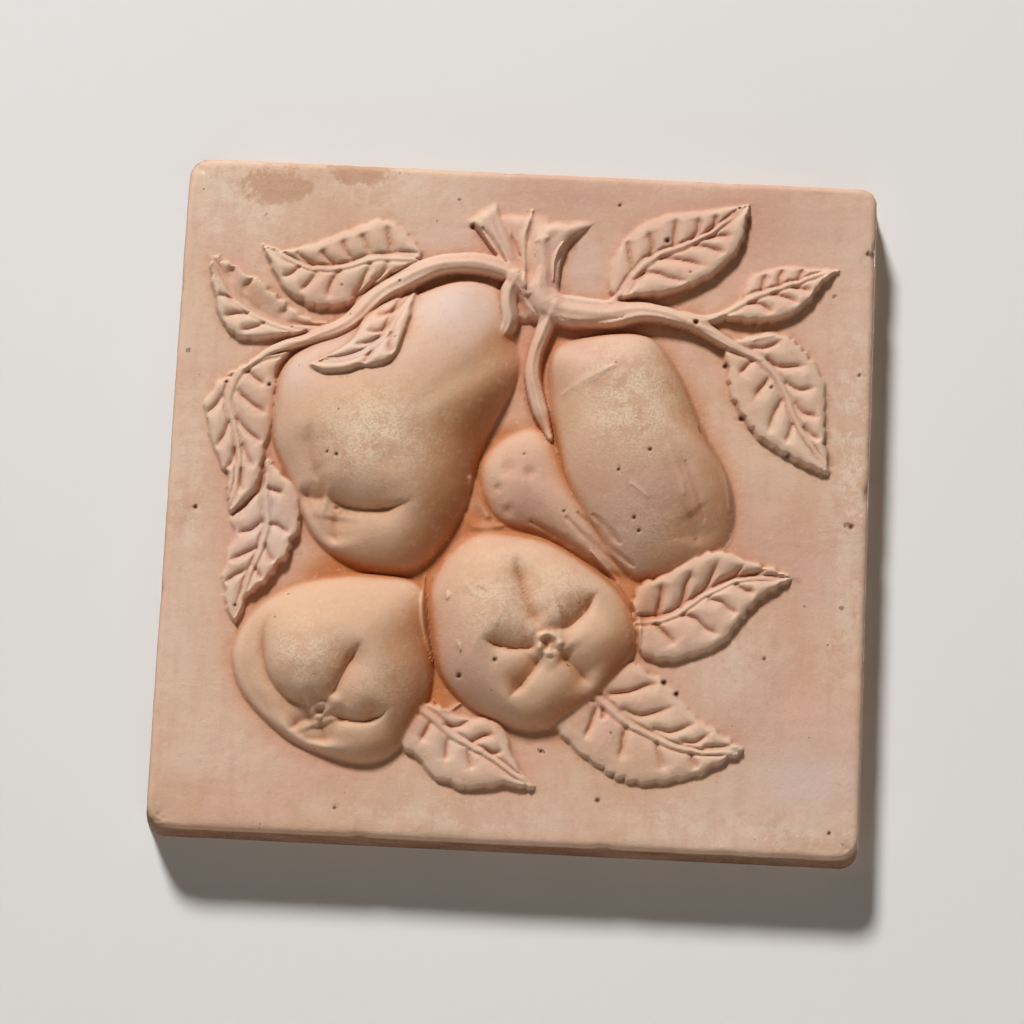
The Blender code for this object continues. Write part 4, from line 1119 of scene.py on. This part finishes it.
def build_plaque():
    """The plaque as one closed mesh, with its colour masks in its points."""
    grid = Grid()
    height, shares = build_relief(grid)
    masks = paint_masks(grid, height, shares)
    points, triangles = slab_surface(grid, height)
    piece = bpy.data.objects.new("clay_plaque", mesh_from("clay_plaque", points, triangles))
    bpy.context.scene.collection.objects.link(piece)
    thin = piece.modifiers.new("thin", "DECIMATE")
    thin.ratio = TRIANGLES_WANTED / len(triangles)
    evaluated(piece)
    cutter = slot_cutter()
    slot = piece.modifiers.new("slot", "BOOLEAN")
    slot.operation = "DIFFERENCE"
    slot.solver = "EXACT"
    slot.object = cutter
    mesh = evaluated(piece)
    bpy.data.objects.remove(cutter)
    mesh.shade_smooth()
    mesh.set_sharp_from_angle(angle=math.radians(SHARP_ANGLE))

    place = np.zeros(len(mesh.vertices) * 3, np.float32)
    mesh.vertices.foreach_get("co", place)
    x, y, z = (place.reshape(-1, 3) / UNIT).T
    face = ease(-SLAB_THICKNESS + 3.5, -SLAB_THICKNESS + 0.5, y)
    values = {name: grid.sample(field, x, z) * face for name, field in masks.items()}
    # Painted shade on the slab's sides, from just behind the face to the back
    values["side"] = ease(-SLAB_THICKNESS + 0.4, -SLAB_THICKNESS + 3.0, y)
    for name, value in values.items():
        layer = mesh.attributes.new(name, "FLOAT", "POINT")
        layer.data.foreach_set("value", value.astype(np.float32))
    return piece


class Shader:
    """Short ways to add and join a material's nodes."""

    def __init__(self, name):
        self.material = bpy.data.materials.new(name)
        self.material.use_nodes = True
        self.tree = self.material.node_tree
        self.principled = self.tree.nodes["Principled BSDF"]
        self.position = self.tree.nodes.new("ShaderNodeTexCoord").outputs["Object"]

    def add(self, kind, inputs=(), **settings):
        node = self.tree.nodes.new(kind)
        for name, value in settings.items():
            setattr(node, name, value)
        for key, value in dict(inputs).items():
            if isinstance(value, bpy.types.NodeSocket):
                self.tree.links.new(value, node.inputs[key])
            else:
                node.inputs[key].default_value = value
        return node

    def mask(self, name):
        return self.add("ShaderNodeAttribute", attribute_name=name).outputs["Fac"]

    def noise(self, size, detail=4, roughness=0.55, stretch=(1, 1, 1)):
        """Noise whose features are about that many metres wide."""
        vector = self.add("ShaderNodeMapping", {"Vector": self.position, "Scale": stretch}).outputs[0]
        inputs = {"Vector": vector, "Scale": 1 / size, "Detail": detail, "Roughness": roughness}
        return self.add("ShaderNodeTexNoise", inputs).outputs["Fac"]

    def range(self, value, low, high, least=0.0, most=1.0):
        inputs = {"Value": value, "From Min": low, "From Max": high, "To Min": least, "To Max": most}
        return self.add("ShaderNodeMapRange", inputs, interpolation_type="SMOOTHSTEP").outputs[0]

    def math(self, operation, a, b):
        return self.add("ShaderNodeMath", {0: a, 1: b}, operation=operation, use_clamp=True).outputs[0]

    def times(self, a, b):
        return self.math("MULTIPLY", a, b)

    def plus(self, a, b):
        return self.math("ADD", a, b)

    def mix(self, factor, below, above):
        colours = [(*c, 1) if isinstance(c, tuple) else c for c in (below, above)]
        inputs = {0: factor, 6: colours[0], 7: colours[1]}
        return self.add("ShaderNodeMix", inputs, data_type="RGBA").outputs[2]


# Colours of the clay, as linear red, green and blue
PINK_CLAY = (0.68, 0.415, 0.305)
WARM_CLAY = (0.64, 0.395, 0.27)
# Rosy clay, which is also painted shade at one rosy spot
ROSY_CLAY_AND_SHADE = (0.57, 0.325, 0.24)
PALE_DUST = (0.74, 0.53, 0.39)
CREAM_CLAY = (0.74, 0.55, 0.41)
TAN_CLAY = (0.645, 0.39, 0.245)
LILAC_SLIP = (0.68, 0.51, 0.45)
# Painted ochre shade, in the hollows between fruit and on the fruit flanks turned from the light
OCHRE_SHADE = (0.5, 0.17, 0.05)
# Painted dark shade in the fine hollows: creases, veins and edges
DEEP_HOLLOW_SHADE = (0.34, 0.12, 0.05)
# Painted orange bounce light on the ground near the fruit
GROUND_BOUNCE_LIGHT = (0.66, 0.32, 0.185)
# Painted orange bounce light on the fruit flanks turned from the light
FLANK_BOUNCE_LIGHT = (0.68, 0.37, 0.18)
# Brown stains, flecks and grain, and also painted shade at some of the stain spots
BROWN_STAIN_AND_SHADE = (0.5, 0.27, 0.16)
# Painted shade on the slab's sides
SIDE_SHADE = (0.2, 0.085, 0.034)
# Painted shade in the pits, and also dark specks in the clay
DARK_SPECK_AND_PIT_SHADE = (0.10, 0.045, 0.025)
PALE_CRUST = (0.77, 0.60, 0.46)
BLOOM = (0.83, 0.67, 0.49)


def terracotta():
    """Fired clay: mottled, dusty on its crests, finely grained, with painted shade in its hollows and on
    flanks.
    """
    shader = Shader("terracotta")
    mask, noise, span, mix = shader.mask, shader.noise, shader.range, shader.mix
    times, plus = shader.times, shader.plus
    broad = noise(0.045, 5, 0.6)
    patches = noise(0.016, 5, 0.62)
    specks = noise(0.0014, 3, 0.7)
    grain = noise(0.0006, 3, 0.7)
    crust = noise(0.03, 6, 0.7)
    streaks = noise(0.0035, 4, 0.6, (1, 1, 0.12))
    dust = noise(0.0007, 2, 0.6)

    colour = mix(span(crust, 0.47, 0.54), PINK_CLAY, WARM_CLAY)
    colour = mix(span(broad, 0.44, 0.62, 0, 0.6), colour, CREAM_CLAY)
    colour = mix(times(mask("cream"), span(noise(0.012, 6, 0.75), 0.44, 0.5, 0.25, 1)), colour, CREAM_CLAY)
    chalk = times(mask("cream"), span(noise(0.006, 7, 0.8), 0.5, 0.56, 0, 0.7))
    colour = mix(chalk, colour, PALE_CRUST)
    colour = mix(span(streaks, 0.45, 0.7, 0, 0.25), colour, ROSY_CLAY_AND_SHADE)
    colour = mix(span(patches, 0.52, 0.72, 0, 0.5), colour, PALE_DUST)
    colour = mix(times(mask("fruit"), span(broad, 0.1, 0.5, 0.55, 0.95)), colour, TAN_CLAY)
    # Rosy clay, and painted shade on the right pear's top
    colour = mix(times(mask("rosy_and_shade"), span(patches, 0.25, 0.6, 0.65, 1)), colour, ROSY_CLAY_AND_SHADE)
    colour = mix(times(mask("lilac"), span(patches, 0.2, 0.6, 0.55, 1)), colour, LILAC_SLIP)
    # Painted orange bounce light near the fruits' feet and in the gaps between fruit
    colour = mix(times(mask("bounce_light"), span(patches, 0.2, 0.7, 0.5, 0.9)), colour, GROUND_BOUNCE_LIGHT)
    # Painted shade and orange bounce light on the fruit flanks turned from the light
    colour = mix(span(mask("flank_shade"), 0, 0.35, 0, 0.55), colour, FLANK_BOUNCE_LIGHT)
    colour = mix(times(mask("flank_shade"), span(patches, 0.1, 0.6, 0.65, 1)), colour, OCHRE_SHADE)
    # Stains, with painted shade at a few of the spots
    ragged = plus(times(mask("stain_and_shade"), 0.4), times(noise(0.008, 7, 0.75), 0.7))
    colour = mix(span(ragged, 0.57, 0.66, 0, 0.7), colour, BROWN_STAIN_AND_SHADE)
    thick = times(mask("bloom"), span(noise(0.005, 6, 0.75), 0.38, 0.54))
    dusting = times(thick, span(dust, 0.38, 0.56, 0.25, 1))
    colour = mix(times(dusting, 0.85), colour, BLOOM)
    colour = mix(times(mask("crest"), span(patches, 0.2, 0.6, 0.35, 0.7)), colour, PALE_DUST)
    # Painted ochre shade in the hollows and gaps between fruit
    colour = mix(times(mask("crevice_shade"), span(patches, 0.1, 0.7, 0.6, 1)), colour, OCHRE_SHADE)
    # Painted dark shade in the fine hollows
    colour = mix(times(mask("hollow_shade"), 0.75), colour, DEEP_HOLLOW_SHADE)
    # Painted shade on the slab's sides
    colour = mix(times(mask("side"), span(patches, 0.2, 0.65, 0.7, 0.97)), colour, SIDE_SHADE)
    # Painted dark shade in the pits
    colour = mix(mask("pit_shade"), colour, DARK_SPECK_AND_PIT_SHADE)
    flecks = noise(0.0026, 6, 0.75)
    colour = mix(span(flecks, 0.54, 0.66, 0, 0.3), colour, PALE_DUST)
    colour = mix(span(flecks, 0.44, 0.33, 0, 0.25), colour, BROWN_STAIN_AND_SHADE)
    colour = mix(span(noise(0.0034, 2, 0.5), 0.755, 0.775, 0, 0.6), colour, DARK_SPECK_AND_PIT_SHADE)
    colour = mix(span(grain, 0.62, 0.78, 0, 0.4), colour, BROWN_STAIN_AND_SHADE)
    colour = mix(span(grain, 0.36, 0.24, 0, 0.35), colour, PALE_DUST)

    roughness = span(specks, 0.3, 0.7, 0.62, 0.86)
    crusty = plus(times(specks, 0.6), times(thick, times(dust, 0.6)))
    bump = shader.add("ShaderNodeBump", {"Strength": 0.45, "Distance": 0.0005, "Height": crusty})
    fine_inputs = {"Strength": 0.3, "Distance": 0.0002, "Height": grain, "Normal": bump.outputs[0]}
    fine = shader.add("ShaderNodeBump", fine_inputs)
    shader.tree.links.new(colour, shader.principled.inputs["Base Color"])
    shader.tree.links.new(roughness, shader.principled.inputs["Roughness"])
    shader.tree.links.new(fine.outputs[0], shader.principled.inputs["Normal"])
    shader.principled.inputs["Specular IOR Level"].default_value = 0.3
    return shader.material


# Wall, floor and light, in metres
WALL_GAP = 0.0002
WALL_HALF_WIDTH = 0.9
WALL_TOP = 0.9
FLOOR_LEVEL = -0.9
FLOOR_FRONT = -0.8
FLOOR_BACK = 2.4
WALL_COLOUR = (0.80, 0.805, 0.80)
WALL_SHADE = (0.7, 0.7, 0.7)
WALL_PATCH = 0.25
SKY_LIGHT = 0.018
SKY_SEEN = 0.7
SKY_COLOUR = (1.0, 0.90, 0.80, 1)

# Lamps: name, place, width of the disk, spread in degrees, watts and colour
LAMPS = (
    ("key", (-0.82, -1.9, 2.25), 0.50, 80, 20.0, (1.0, 0.985, 0.965)),
    ("fill", (0.6, -1.7, -1.0), 1.6, 120, 1.7, (1.0, 0.77, 0.57)),
    ("rear", (0.8, 1.7, 0.9), 1.0, 50, 6, (1.0, 0.99, 0.97)),
)

# The photograph's own view: from below and a little to the right. Millimetres, metres and degrees
CAMERA_SENSOR = 36
CAMERA_LENS = 97.96
CAMERA_PLACE = (0.00619, -0.78827, -0.12234)
CAMERA_TURN = (98.826, -2.784, 0.135)


def pale_paint(name, one_sided):
    """Matt pale paint. A one-sided wall is not there when it is looked at from behind."""
    shader = Shader(name)
    patches = shader.range(shader.noise(WALL_PATCH), 0.3, 0.7, 0, 0.06)
    colour = shader.mix(patches, WALL_COLOUR, WALL_SHADE)
    shader.tree.links.new(colour, shader.principled.inputs["Base Color"])
    shader.principled.inputs["Roughness"].default_value = 0.9
    shader.principled.inputs["Specular IOR Level"].default_value = 0.1
    if one_sided:
        behind = shader.add("ShaderNodeNewGeometry").outputs["Backfacing"]
        shadow = shader.add("ShaderNodeLightPath").outputs["Is Shadow Ray"]
        clear = shader.add("ShaderNodeBsdfTransparent").outputs[0]
        either = shader.math("MAXIMUM", behind, shadow)
        inputs = {0: either, 1: shader.principled.outputs[0], 2: clear}
        shown = shader.add("ShaderNodeMixShader", inputs).outputs[0]
        shader.tree.links.new(shown, shader.tree.nodes["Material Output"].inputs["Surface"])
    return shader.material


def stage_sheet(name, corners, material):
    mesh = bpy.data.meshes.new(name)
    mesh.from_pydata(corners, [], [tuple(range(len(corners)))])
    mesh.materials.append(material)
    sheet = bpy.data.objects.new(name, mesh)
    bpy.context.scene.collection.objects.link(sheet)


def build_stage():
    left, right = -WALL_HALF_WIDTH, WALL_HALF_WIDTH
    wall = [
        (left, WALL_GAP, FLOOR_LEVEL), (right, WALL_GAP, FLOOR_LEVEL),
        (right, WALL_GAP, WALL_TOP), (left, WALL_GAP, WALL_TOP),
    ]
    floor = [
        (left, FLOOR_FRONT, FLOOR_LEVEL), (right, FLOOR_FRONT, FLOOR_LEVEL),
        (right, FLOOR_BACK, FLOOR_LEVEL), (left, FLOOR_BACK, FLOOR_LEVEL),
    ]
    stage_sheet("wall", wall, pale_paint("wall_paint", True))
    stage_sheet("floor", floor, pale_paint("floor_paint", False))


def area_light(name, place, size, spread, watts, colour):
    light = bpy.data.lights.new(name, "AREA")
    light.shape = "DISK"
    light.size = size
    light.spread = math.radians(spread)
    light.energy = watts
    light.color = colour
    lamp = bpy.data.objects.new(name, light)
    lamp.location = place
    lamp.rotation_euler = (-Vector(place)).to_track_quat("-Z", "Y").to_euler()
    bpy.context.scene.collection.objects.link(lamp)


def build_light():
    for lamp in LAMPS:
        area_light(*lamp)
    world = bpy.data.worlds.new("studio")
    world.use_nodes = True
    tree = world.node_tree
    seen = tree.nodes.new("ShaderNodeLightPath").outputs["Is Camera Ray"]
    strength = tree.nodes.new("ShaderNodeMapRange")
    strength.inputs["To Min"].default_value = SKY_LIGHT
    strength.inputs["To Max"].default_value = SKY_SEEN
    tree.links.new(seen, strength.inputs["Value"])
    tree.nodes["Background"].inputs["Color"].default_value = SKY_COLOUR
    tree.links.new(strength.outputs["Result"], tree.nodes["Background"].inputs["Strength"])
    bpy.context.scene.world = world
    bpy.context.scene.view_settings.view_transform = "Standard"


def build_camera():
    data = bpy.data.cameras.new("camera")
    data.sensor_width = CAMERA_SENSOR
    data.lens = CAMERA_LENS
    data.clip_start = 0.01
    camera = bpy.data.objects.new("camera", data)
    camera.location = CAMERA_PLACE
    camera.rotation_euler = Euler([math.radians(turn) for turn in CAMERA_TURN])
    bpy.context.scene.collection.objects.link(camera)
    bpy.context.scene.camera = camera


plaque = build_plaque()
plaque.data.materials.clear()
plaque.data.materials.append(terracotta())
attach(plaque, "root")
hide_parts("plaque")
build_stage()
build_light()
build_camera()
